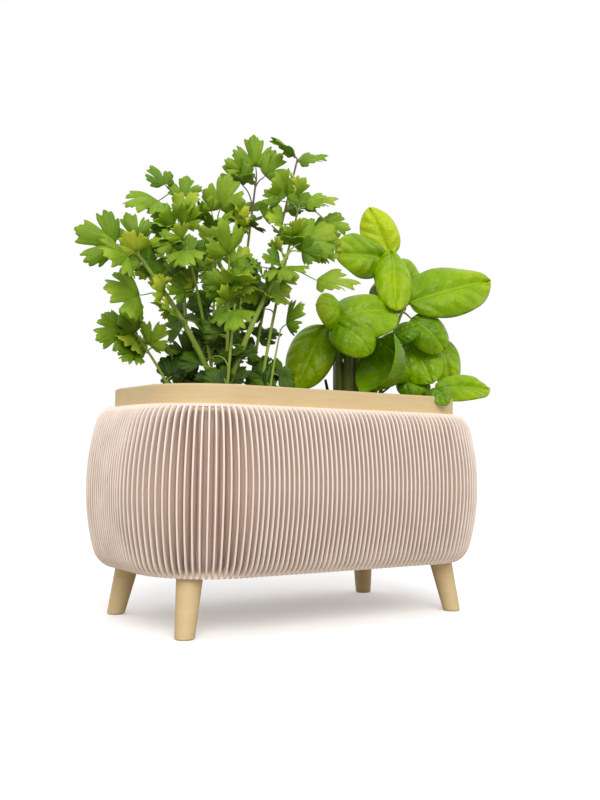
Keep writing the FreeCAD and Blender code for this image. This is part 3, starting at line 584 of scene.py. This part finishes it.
def lay_leaf(template, base, tip, facing, width, arch, roll, tone_and_shade, chance):
    """A copy of a flat leaf, arched, rolled across, waved and set between its base and its tip, with painted
    shade in its tone, darker towards its base.
    """
    leaf = template.copy()
    leaf.data = template.data.copy()
    bpy.context.collection.objects.link(leaf)
    flat = np.empty(len(leaf.data.vertices) * 3)
    leaf.data.vertices.foreach_get("co", flat)
    x, y, z = flat.reshape(-1, 3).T
    length = (tip - base).length
    along = (tip - base).normalized()
    side = along.cross(Vector(facing)).normalized()
    face = side.cross(along)
    ripple = chance.uniform(*ANY_PHASE)
    tilt = chance.uniform(*LEAF_TILT)
    across = width * np.sin(roll * x) / roll
    rolled = width * (1 - np.cos(roll * x)) / roll
    arched = arch * length * 4 * y * (1 - y)
    waved = WAVE_HEIGHT * length * np.sin(WAVES_ACROSS * x + ripple) * np.sin(WAVES_ALONG * y + ripple)
    lift = z * length - rolled + arched + tilt * width * x + waved
    points = np.array(base) + np.outer(across, side) + np.outer(y * length, along) + np.outer(lift, face)
    leaf.data.vertices.foreach_set("co", (points * MM).ravel())
    # Painted shade: the leaf's tone darkens towards its base and pales towards its tip
    marks = leaf.data.attributes.new("tone_and_shade", "FLOAT", "POINT")
    marks.data.foreach_set("value", tone_and_shade + BASE_SHADE_SLOPE * (y - BASE_SHADE_EVEN_AT))
    return leaf


def herb_stalk(herb, number, lines, leaves, templates, finishes, petiole, thickness, sway):
    """A stalk with its shoots and side stalks as one piece, and all its leaves as another."""
    stalk_finish, leaf_finish = finishes
    chance = random.Random(number * SEED_STEP + len(herb))
    runs = [(line, [diameter / 2 * share for share in STALK_TAPER]) for line, diameter in lines]
    petiole_radii = [petiole * share for share in PETIOLE_TAPER]
    blades = []
    for start, way, base, tip, width, facing, arch, roll, tone_and_shade in leaves:
        towards = (tip - base).normalized()
        bow = start + (way * PETIOLE_BOW + towards * BLADE_BOW) * ((base - start).length / 2)
        run_in = base + towards * (tip - base).length * RUN_IN
        runs.append(([start, bow, base, run_in], petiole_radii))
        template = templates[chance.randrange(len(templates))]
        turned = Vector(facing) + Vector([chance.uniform(-sway, sway) for _ in range(3)])
        blades.append(lay_leaf(template, base, tip, turned, width, arch, roll, tone_and_shade, chance))
    stalk = stalk_mesh("%s_stems_%02d" % (herb, number), runs, stalk_finish)
    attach(stalk, herb)
    foliage = join_pieces(blades, "%s_foliage_%02d" % (herb, number))
    bpy.ops.object.modifier_add(type="SOLIDIFY")
    foliage.modifiers[-1].thickness = thickness * MM
    foliage.modifiers[-1].offset = 0
    bpy.ops.object.modifier_apply(modifier=foliage.modifiers[-1].name)
    bpy.ops.object.shade_smooth()
    foliage.data.materials.clear()
    foliage.data.materials.append(leaf_finish)
    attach(foliage, herb)
    return stalk, foliage


# The fan's outline: how it falls off to its sides and turns in at its base, its cuts and teeth
SIDE_FALL, BASE_TURN, BASE_REACH = 0.14, 10, 0.3
CLEFT_WIDTH = 6.0
SUB_LOBES, SUB_LOBE_CUT, SUB_LOBE_WIDTH = (0.2, 0.78, 1.2), 0.14, 3.5
TOOTH_DEPTH, LOBE_FOLD, STALK_SEAT = 0.07, 0.06, 0.03
FAN_WIDTH = 1.8
FAN_COLUMNS, FAN_ROWS = 128, 6
# Each kind of fan: turn to each side, turn between clefts, depth of the clefts, turn of a tooth
FANS = {"coriander_broad_blade": (104, 68, 0.34, 13.0), "coriander_cut_blade": (88, 60, 0.5, 11.0)}


def coriander_blade(fan_turn, lobe_turn, cleft_depth, tooth_turn):
    """A flat fan of three lobes with round teeth on a wedge, one long from its base and about one wide."""
    def shape(u, v):
        turn = (u * 2 - 1) * fan_turn
        spread = np.abs(turn) / fan_turn
        out = np.radians(turn)
        envelope = (1 - SIDE_FALL * spread) * (1 - spread ** BASE_TURN) + BASE_REACH * spread ** BASE_TURN
        cut = cleft_depth * np.exp(-((np.abs(turn) - lobe_turn / 2) / CLEFT_WIDTH) ** 2)
        for share in SUB_LOBES:
            cut = cut + SUB_LOBE_CUT * np.exp(-((np.abs(turn) - lobe_turn * share) / SUB_LOBE_WIDTH) ** 2)
        teeth = TOOTH_DEPTH * (np.abs(np.cos(turn / tooth_turn * math.pi)) - 1)
        edge = envelope * (1 - cut) + teeth
        reach = STALK_SEAT + (edge - STALK_SEAT) * v
        fold = LOBE_FOLD * np.cos(2 * math.pi * turn / lobe_turn) * v
        return np.stack([np.sin(out) * reach / FAN_WIDTH, np.cos(out) * reach, fold], axis=1)
    return shape


coriander_templates = [close_up(shaped_sheet(name, FAN_COLUMNS, FAN_ROWS, coriander_blade(*fan)), False)
                       for name, fan in FANS.items()]


def leaf_green(tree, place, patch_mm, patch_share, greens):
    """The colour of a leaf's own tone with its painted shade, clouded by soft patches."""
    tone_and_shade = add_node(tree, "Attribute", {}, attribute_name="tone_and_shade").outputs["Fac"]
    patch = add_node(tree, "TexNoise", {"Vector": place, "Scale": per_metre(patch_mm),
                                        "Detail": 4.0}).outputs["Fac"]
    mixed = add_node(tree, "Math", {0: patch, 1: patch_share, 2: tone_and_shade}, operation="MULTIPLY_ADD")
    level = add_node(tree, "Math", {0: mixed.outputs["Value"], 1: patch_share / 2},
                     operation="SUBTRACT")
    return add_node(tree, "ValToRGB", {"Fac": level.outputs["Value"]}, greens).outputs["Color"]


# Coriander leaf: thin, matt and soft, paler along the veins that fan out from its base
CORIANDER_GREENS = [(0.05, "#2b4800"), (0.35, "#567a08"), (0.65, "#87a520"), (0.95, "#c0c43a")]
CORIANDER_VEIN = "#a5b84a"
CORIANDER_PATCH_MM, CORIANDER_PATCH_SHARE = 14.0, 0.5
FAN_VEINS = 15.0
LEAF_GLOW = {"Subsurface Weight": 0.5, "Subsurface Radius": (0.6, 1.0, 0.2), "Subsurface Scale": MM}
coriander_leaf, tree, shader = new_finish("coriander_leaf", {"Roughness": 0.5, "Specular IOR Level": 0.25,
                                                             **LEAF_GLOW})
place = add_node(tree, "TexCoord", {})
green = leaf_green(tree, place.outputs["Object"], CORIANDER_PATCH_MM, CORIANDER_PATCH_SHARE, CORIANDER_GREENS)
split = add_node(tree, "SeparateXYZ", {"Vector": place.outputs["UV"]})
fan = add_node(tree, "Math", {0: split.outputs["X"], 1: FAN_VEINS}, operation="MULTIPLY")
line = add_node(tree, "Math", {0: fan.outputs["Value"], 1: 0.5},
                operation="PINGPONG").outputs["Value"]
vein = add_node(tree, "MapRange", {"Value": line, "From Min": 0.02, "From Max": 0.12,
                                   "To Min": 0.22, "To Max": 0.0}).outputs["Result"]
veined = add_node(tree, "Mix", {"Factor": vein, "A": green, "B": linear(CORIANDER_VEIN)},
                  data_type="RGBA")
tree.links.new(veined.outputs["Result"], shader.inputs["Base Color"])
crease = add_node(tree, "Bump", {"Height": line, "Strength": 0.3, "Distance": 0.0006})
tree.links.new(crease.outputs["Normal"], shader.inputs["Normal"])

# Coriander stalk: juicy pale green, flushed purple-brown here and there towards the top
CORIANDER_FLUSHES = [(0.4, "#a6bc48"), (0.62, "#88a43c"), (0.8, "#6e5a3e")]
CORIANDER_FLUSH_MM = 45.0
FLUSH_LOW, FLUSH_HIGH = 260.0, 360.0
coriander_stalk, tree, shader = new_finish("coriander_stalk", {"Roughness": 0.4, "IOR": 1.4})
place = add_node(tree, "TexCoord", {}).outputs["Object"]
flush = add_node(tree, "TexNoise", {"Vector": place, "Scale": per_metre(CORIANDER_FLUSH_MM),
                                    "Detail": 3.0}).outputs["Fac"]
height = add_node(tree, "SeparateXYZ", {"Vector": place}).outputs["Z"]
aged = add_node(tree, "MapRange", {"Value": height, "From Min": FLUSH_LOW * MM,
                                   "From Max": FLUSH_HIGH * MM, "To Max": 0.3}).outputs["Result"]
mixed = add_node(tree, "Math", {0: flush, 1: aged}, operation="ADD").outputs["Value"]
colour = add_node(tree, "ValToRGB", {"Fac": mixed}, CORIANDER_FLUSHES)
tree.links.new(colour.outputs["Color"], shader.inputs["Base Color"])

# Growth: the leaves' sizes against their rows. Outer and inner leaves fill the bush, within ranges
# of share of the stalk, turn, reach, rise, tone and least x, and bare stalks have no outer ones.
BLADE_GROWTH, WIDTH_GROWTH, CORIANDER_ROLL = 0.98, 1.32, 0.9
CORIANDER_PETIOLE, CORIANDER_THICKNESS, CORIANDER_SWAY = 0.55, 0.35, 0.4
LEAST_PETIOLE = 1.5
OUTER_LEAVES, INNER_LEAVES = 8, 4
BARE_STALKS = (8, 11, 12)
BUSH_LOW = Vector((-116, -80, 46))
BUSH_HIGH = Vector((64, 58, 238))
OUTER_RANGES = ((0.7, 1.0), (0, 360), (16, 32), (-4, 20), (0.36, 0.84), BUSH_LOW.x)
# Inner leaves get low tones: painted shade inside the bush
INNER_RANGES = ((0.2, 0.62), (20, 160), (14, 28), (0, 18), (0.08, 0.3), -25)
FILL_SEED = 100
FILL_BLADES, FILL_WIDTHS, FILL_ARCHES, FILL_ROLLS = (14, 23), (1.35, 1.7), (0.04, 0.2), (0.5, 1.8)
FILL_FACING, OUTWARD = Vector((-0.35, -0.6, 0.45)), 0.5


def held_leaf(start, way, tip, blade, width, facing, arch, roll, tone_and_shade):
    """A leaf whose blade lies in line with its side stalk."""
    towards = (tip - start).normalized()
    base = tip - towards * min(blade, (tip - start).length - LEAST_PETIOLE)
    return start, way, base, tip, width, facing, arch, roll, tone_and_shade


def fill_leaf(line, shares, turns, reaches, rises, tones_and_shade, low_x, chance):
    """One further leaf that fills the bush, at random within the given ranges."""
    start, way = stalk_place(*line, chance.uniform(*shares))
    turn = math.radians(chance.uniform(*turns))
    level = Vector((math.cos(turn), math.sin(turn), 0))
    tip = start - CORIANDER_MIDDLE + level * chance.uniform(*reaches) + Vector((0, 0, chance.uniform(*rises)))
    tip = Vector([min(max(value, low), high) for value, low, high in zip(tip, BUSH_LOW, BUSH_HIGH)])
    tip.x = max(tip.x, low_x)
    blade = chance.uniform(*FILL_BLADES)
    width = blade * chance.uniform(*FILL_WIDTHS)
    arch = chance.uniform(*FILL_ARCHES)
    roll = chance.uniform(*FILL_ROLLS) * chance.choice((-1, 1, 1))
    facing = level * OUTWARD + FILL_FACING
    tone_and_shade = chance.uniform(*tones_and_shade)
    return held_leaf(start, way, CORIANDER_MIDDLE + tip, blade, width, facing, arch, roll, tone_and_shade)


for number, (root, tip, diameter) in enumerate(CORIANDER_STALKS, 1):
    line = (CORIANDER_MIDDLE, root, tip)
    leaves = [held_leaf(*stalk_place(*line, share), CORIANDER_MIDDLE + Vector(leaf_tip), blade * BLADE_GROWTH,
                        width * WIDTH_GROWTH, facing, arch, CORIANDER_ROLL, tone_and_shade)
              for stalk_number, share, leaf_tip, blade, width, facing, arch, tone_and_shade in CORIANDER_LEAVES
              if stalk_number == number]
    chance = random.Random(FILL_SEED + number)
    outer_leaves = 0 if number in BARE_STALKS else OUTER_LEAVES
    leaves += [fill_leaf(line, *OUTER_RANGES, chance) for _ in range(outer_leaves)]
    leaves += [fill_leaf(line, *INNER_RANGES, chance) for _ in range(INNER_LEAVES)]
    stalk, foliage = herb_stalk("coriander", number, [(stalk_line(*line), diameter)], leaves,
                                coriander_templates, (coriander_stalk, coriander_leaf),
                                CORIANDER_PETIOLE, CORIANDER_THICKNESS, CORIANDER_SWAY)
    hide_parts("coriander_stalk_%02d" % number)
    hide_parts("coriander_leaves_%02d" % number)
for template in coriander_templates:
    bpy.data.objects.remove(template)

# Basil: a few thicker stems with large pointed oval leaves, glossy, yellow-green and quilted
# between their veins. They grow from one clump of shoots, and some hang down over the rim.
BASIL_MIDDLE = Vector((68.0, 0.0, SOIL_TOP))
# Each stem, from the middle of the soil's top: root, tip, diameter
BASIL_STEMS = [
    ((-4, 4), (32, -6, 162), 4.0),
    ((0, -12), (36, -28, 126), 3.6),
    ((-16, 0), (-32, -12, 94), 3.6),
    ((-6, -20), (14, -30, 88), 3.0),
    ((10, -14), (54, -38, 42), 2.6),
    ((12, 6), (48, -8, 80), 3.0),
]
# Each leaf: stem, share of the stem's length, base and tip of the blade, width, facing, arch, roll, tone
BASIL_LEAVES = [
    (1, 1.0, (33, -4, 161), (18, 8, 205), 36, FRONT, 0.06, 1.4, 0.9),
    (1, 0.98, (19, -10, 157), (-52, -34, 147), 42, (-0.5, -0.85, -0.05), 0.06, 1.3, 0.64),
    (1, 0.96, (26, -12, 160), (3, -46, 102), 42, (-0.4, -0.8, 0.4), 0.14, 2.2, 0.7),
    (1, 0.99, (42, 2, 152), (82, 10, 138), 38, FRONT, 0.14, 1.2, 0.7),
    (1, 0.90, (44, 8, 146), (70, 46, 132), 40, REAR, 0.16, 1.4, 0.5),
    (1, 0.60, (8, 8, 96), (0, 46, 72), 38, REAR, 0.16, 1.4, 0.45),
    (2, 1.0, (32, -28, 115), (115, -43, 140), 54, FRONT, 0.10, 1.1, 0.64),
    (2, 0.85, (36, -30, 103), (61, -45, 75), 39, FRONT, 0.2, 1.7, 0.5),
    (2, 0.90, (40, -18, 112), (64, 24, 112), 36, REAR, 0.14, 1.4, 0.5),
    (2, 0.55, (22, -14, 72), (36, 8, 62), 34, FRONT, 0.2, 1.6, 0.3),
    (3, 1.0, (-42, -26, 93), (11, -40, 103), 55, (-0.4, -0.75, 0.45), 0.2, 1.6, 0.62),
    (3, 0.98, (-34, -22, 97), (-63, -26, 105), 38, (-0.5, -0.75, 0.4), 0.28, 2.0, 0.7),
    (3, 0.96, (-42, -27, 92), (-24, -51, 65), 40, FRONT, 0.2, 1.6, 0.55),
    (3, 0.92, (-33, 2, 93), (-58, 6, 38), 46, FRONT, 0.18, 1.8, 0.7),
    (4, 0.72, (-15, -53, 78), (-30, -64, 35), 84, (-1.0, 0.15, 0.0), -0.48, -2.6, 0.44),
    (4, 1.0, (18, -30, 84), (32, -44, 94), 22, FRONT, 0.14, 1.4, 0.4),
    (4, 0.80, (14, -22, 66), (42, -24, 56), 36, FRONT, 0.2, 1.6, 0.4),
    (5, 1.0, (50, -45, 39), (106, -52, 42), 29, (-0.4, -0.75, 0.5), 0.14, 1.1, 0.66),
    (5, 0.85, (32, -60, 38), (32, -81, 25), 21, (-0.4, -0.6, 0.6), 0.3, 1.4, 0.42),
    (6, 1.0, (46, -14, 85), (54, -38, 46), 46, FRONT, 0.16, 1.6, 0.58),
    (6, 0.80, (86, -8, 92), (92, -18, 46), 34, FRONT, 0.16, 1.4, 0.66),
    (6, 0.45, (32, -16, 50), (56, -32, 40), 30, FRONT, 0.2, 1.4, 0.45),
    (6, 0.80, (40, 2, 72), (42, 44, 84), 38, REAR, 0.16, 1.4, 0.45),
    (6, 0.70, (34, -4, 60), (78, 10, 62), 38, FRONT, 0.18, 1.4, 0.35),
]
# Each shoot beside a stem: stem, root, tip, diameter
BASIL_SHOOTS = [
    (3, (-21, -6), (-31, -14, 90), 8.5),
    (3, (-17, -11), (-24, -20, 88), 10.0),
    (3, (-18, 3), (-27, -5, 92), 6.0),
    (4, (-11, -9), (-13, -20, 86), 8.0),
    (4, (-9, -15), (-2, -26, 84), 5.0),
]
BASIL_PETIOLE, BASIL_THICKNESS, BASIL_SWAY = 0.9, 0.5, 0.1
# The oval's width and point, its side veins, the quilting between them and the groove of its midrib
OVAL_WIDTH, OVAL_POINT = 1.08, 0.62
SIDE_VEINS, VEIN_SLANT = 5, 0.28
QUILT_HEIGHT, QUILT_ROUND = 0.028, 0.7
GROOVE_SLOPE, GROOVE_HALF = 0.14, 0.25
OVAL_COLUMNS, OVAL_ROWS = 24, 40


def basil_blade(u, v):
    """A flat pointed oval, one long and one wide, quilted between its side veins."""
    across = u * 2 - 1
    half = OVAL_WIDTH * np.sqrt(v) * (1 - v) ** OVAL_POINT
    veins = np.abs(np.sin((v - VEIN_SLANT * np.abs(across)) * SIDE_VEINS * math.pi))
    quilt = QUILT_HEIGHT * np.sqrt(veins) * np.sin(math.pi * np.abs(across)) ** QUILT_ROUND
    groove = GROOVE_SLOPE * np.minimum(np.abs(across), GROOVE_HALF)
    return np.stack([across * half, v, quilt + groove], axis=1)


basil_template = close_up(shaped_sheet("basil_blade", OVAL_COLUMNS, OVAL_ROWS, basil_blade), False)

# Basil leaf: soft and puckered, with a waxy gloss and paler veins, faint at the sides
BASIL_GREENS = [(0.05, "#274400"), (0.35, "#568200"), (0.65, "#8cb004"), (0.95, "#bccc16")]
BASIL_VEIN = "#b4c63a"
BASIL_PATCH_MM, BASIL_PATCH_SHARE = 18.0, 0.4
BLISTER_MM = 5.0
SIDE_FAINTNESS, MIDRIB_FINENESS = 0.035, 4.0
basil_leaf, tree, shader = new_finish("basil_leaf", {"Roughness": 0.27, "Specular IOR Level": 0.22,
                                                     **LEAF_GLOW})
place = add_node(tree, "TexCoord", {})
green = leaf_green(tree, place.outputs["Object"], BASIL_PATCH_MM, BASIL_PATCH_SHARE, BASIL_GREENS)
split = add_node(tree, "SeparateXYZ", {"Vector": place.outputs["UV"]})
offset = add_node(tree, "Math", {0: split.outputs["X"], 1: 0.5}, operation="SUBTRACT")
aside = add_node(tree, "Math", {0: offset.outputs["Value"]}, operation="ABSOLUTE").outputs["Value"]
slant = add_node(tree, "Math", {0: aside, 1: -2 * VEIN_SLANT, 2: split.outputs["Y"]},
                 operation="MULTIPLY_ADD")
steps = add_node(tree, "Math", {0: slant.outputs["Value"], 1: float(SIDE_VEINS)},
                 operation="MULTIPLY")
side_line = add_node(tree, "Math", {0: steps.outputs["Value"], 1: 0.5}, operation="PINGPONG")
fainter = add_node(tree, "Math", {0: side_line.outputs["Value"], 1: SIDE_FAINTNESS}, operation="ADD")
middle_line = add_node(tree, "Math", {0: aside, 1: MIDRIB_FINENESS}, operation="MULTIPLY")
line = add_node(tree, "Math", {0: fainter.outputs["Value"], 1: middle_line.outputs["Value"]},
                operation="MINIMUM").outputs["Value"]
vein = add_node(tree, "MapRange", {"Value": line, "From Min": 0.01, "From Max": 0.07,
                                   "To Min": 0.45, "To Max": 0.0}).outputs["Result"]
veined = add_node(tree, "Mix", {"Factor": vein, "A": green, "B": linear(BASIL_VEIN)},
                  data_type="RGBA")
tree.links.new(veined.outputs["Result"], shader.inputs["Base Color"])
blister = add_node(tree, "TexNoise", {"Vector": place.outputs["Object"],
                                      "Scale": per_metre(BLISTER_MM), "Detail": 2.0}).outputs["Fac"]
crease = add_node(tree, "Bump", {"Height": line, "Strength": 0.4, "Distance": 0.001})
pucker = add_node(tree, "Bump", {"Height": blister, "Strength": 0.8, "Distance": 0.0015,
                                 "Normal": crease.outputs["Normal"]})
tree.links.new(pucker.outputs["Normal"], shader.inputs["Normal"])

# Basil stem: smooth pale green, browner where it is old and woody near the soil
BASIL_STEM_AGES = [(0.2, "#4f401c"), (0.6, "#66702a"), (1.0, "#8fa83e")]
BASIL_FLUSH_MM = 20.0
WOODY_LOW, WOODY_HIGH = 140.0, 320.0
basil_stalk, tree, shader = new_finish("basil_stem", {"Roughness": 0.4, "IOR": 1.4})
place = add_node(tree, "TexCoord", {}).outputs["Object"]
height = add_node(tree, "SeparateXYZ", {"Vector": place}).outputs["Z"]
aged = add_node(tree, "MapRange", {"Value": height, "From Min": WOODY_LOW * MM,
                                   "From Max": WOODY_HIGH * MM}).outputs["Result"]
flush = add_node(tree, "TexNoise", {"Vector": place, "Scale": per_metre(BASIL_FLUSH_MM),
                                    "Detail": 3.0}).outputs["Fac"]
mixed = add_node(tree, "Math", {0: flush, 1: 0.5, 2: aged}, operation="MULTIPLY_ADD")
colour = add_node(tree, "ValToRGB", {"Fac": mixed.outputs["Value"]}, BASIL_STEM_AGES)
tree.links.new(colour.outputs["Color"], shader.inputs["Base Color"])

for number, (root, tip, diameter) in enumerate(BASIL_STEMS, 1):
    leaves = [(*stalk_place(BASIL_MIDDLE, root, tip, share), BASIL_MIDDLE + Vector(base),
               BASIL_MIDDLE + Vector(leaf_tip), width, facing, arch, roll, tone_and_shade)
              for stem_number, share, base, leaf_tip, width, facing, arch, roll, tone_and_shade in BASIL_LEAVES
              if stem_number == number]
    lines = [(stalk_line(BASIL_MIDDLE, root, tip), diameter)]
    lines += [(stalk_line(BASIL_MIDDLE, shoot_root, shoot_tip), shoot_diameter)
              for stem_number, shoot_root, shoot_tip, shoot_diameter in BASIL_SHOOTS if stem_number == number]
    stalk, foliage = herb_stalk("basil", number, lines, leaves, [basil_template], (basil_stalk, basil_leaf),
                                BASIL_PETIOLE, BASIL_THICKNESS, BASIL_SWAY)
    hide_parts("basil_stem_%02d" % number)
    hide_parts("basil_leaves_%02d" % number)
bpy.data.objects.remove(basil_template)

# Dry stalk: the stub of an old basil stem, left standing in the soil behind the shoots.
# It is dead wood, nearly black and split along its length with age.
DEAD_DARK = "#15110c"
DEAD_PALE = "#4b3d2c"
CRACK_MM = 4.0
CRACK_STRETCH = (4.0, 4.0, 0.6)
STUB_ROOT, STUB_TIP = (-14, 12), (-26, 10, 49)
STUB_RADII = [1.7, 1.5, 1.4, 1.5, 1.1]
dead_stalk, tree, shader = new_finish("dead_basil_stalk", {"Roughness": 0.8})
place = add_node(tree, "TexCoord", {}).outputs["Object"]
drawn = add_node(tree, "Mapping", {"Vector": place, "Scale": CRACK_STRETCH}).outputs["Vector"]
cracks = add_node(tree, "TexNoise", {"Vector": drawn, "Scale": per_metre(CRACK_MM),
                                     "Detail": 4.0}).outputs["Fac"]
colour = add_node(tree, "ValToRGB", {"Fac": cracks}, [(0.4, DEAD_DARK), (0.7, DEAD_PALE)])
tree.links.new(colour.outputs["Color"], shader.inputs["Base Color"])
stub = stalk_mesh("basil_stub", [(stalk_line(BASIL_MIDDLE, STUB_ROOT, STUB_TIP), STUB_RADII)], dead_stalk)
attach(stub, "basil")
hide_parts("basil_dry_stalk")

# Studio: a plain white paper floor under an even white sky, and one broad soft light from the
# left. To the camera the floor is white, and to the object it throws back a greyer light.
WHITE = (1, 1, 1, 1)
PAPER_DULL, PAPER_WHITE, PAPER_BOUNCE = "#fdfdfd", "#ffffff", "#b4afa6"
PAPER_CLOUD_MM = 40.0
PAPER_GLOW = 0.2
FLOOR_RADIUS = 12000.0
LIGHT_PLACE, LIGHT_AIM = (-620.0, -1220.0, 1100.0), (0.0, 0.0, 150.0)
LIGHT_STRENGTH, LIGHT_SPREAD = 1.7, math.radians(40)
SKY_LIGHT, SKY_SEEN = 0.8, 1.0
bpy.ops.object.select_all(action="DESELECT")
bpy.ops.mesh.primitive_circle_add(vertices=96, radius=FLOOR_RADIUS * MM, fill_type="NGON", location=(0, 0, 0))
floor = bpy.context.object
floor.name = "studio_floor"
paper, tree, shader = new_finish("white_paper_floor", {"Roughness": 1.0, "Specular IOR Level": 0.0,
                                                       "Emission Color": WHITE})
place = add_node(tree, "TexCoord", {}).outputs["Object"]
cloud = add_node(tree, "TexNoise", {"Vector": place, "Scale": per_metre(PAPER_CLOUD_MM),
                                    "Detail": 3.0}).outputs["Fac"]
colour = add_node(tree, "ValToRGB", {"Fac": cloud}, [(0.3, PAPER_DULL), (0.7, PAPER_WHITE)])
seen = add_node(tree, "LightPath", {}).outputs["Is Camera Ray"]
bounced = add_node(tree, "Mix", {"Factor": seen, "A": linear(PAPER_BOUNCE),
                                 "B": colour.outputs["Color"]}, data_type="RGBA")
tree.links.new(bounced.outputs["Result"], shader.inputs["Base Color"])
lifted = add_node(tree, "Math", {0: seen, 1: PAPER_GLOW}, operation="MULTIPLY")
tree.links.new(lifted.outputs["Value"], shader.inputs["Emission Strength"])
floor.data.materials.append(paper)

bpy.ops.object.light_add(type="SUN", location=[value * MM for value in LIGHT_PLACE])
key = bpy.context.object
key.data.energy = LIGHT_STRENGTH
key.data.angle = LIGHT_SPREAD
aim = Vector([value * MM for value in LIGHT_AIM])
key.rotation_euler = (aim - key.location).to_track_quat("-Z", "Y").to_euler()

sky = bpy.data.worlds.new("white_studio_sky")
bpy.context.scene.world = sky
sky.use_nodes = True
tree = sky.node_tree
glow = tree.nodes["Background"]
glow.inputs["Color"].default_value = WHITE
seen = add_node(tree, "LightPath", {}).outputs["Is Camera Ray"]
strength = add_node(tree, "MapRange", {"Value": seen, "To Min": SKY_LIGHT, "To Max": SKY_SEEN})
tree.links.new(strength.outputs["Result"], glow.inputs["Strength"])
bpy.context.scene.view_settings.view_transform = "Standard"

# Camera: low in front of the left corner, looking slightly up, as the photograph was taken.
# Its place, its turn and its lens were solved from the rim, the body and the feet.
CAMERA_PLACE = (-423.40, -647.57, 127.57)
CAMERA_TILT, CAMERA_ROLL, CAMERA_TURN = 93.389, -0.744, -33.797
CAMERA_LENS, CAMERA_SENSOR = 42.16, 36
angles = [math.radians(angle) for angle in (CAMERA_TILT, CAMERA_ROLL, CAMERA_TURN)]
bpy.ops.object.camera_add(location=[value * MM for value in CAMERA_PLACE], rotation=angles)
camera = bpy.context.object
camera.data.sensor_width = CAMERA_SENSOR
camera.data.lens = CAMERA_LENS
bpy.context.scene.camera = camera
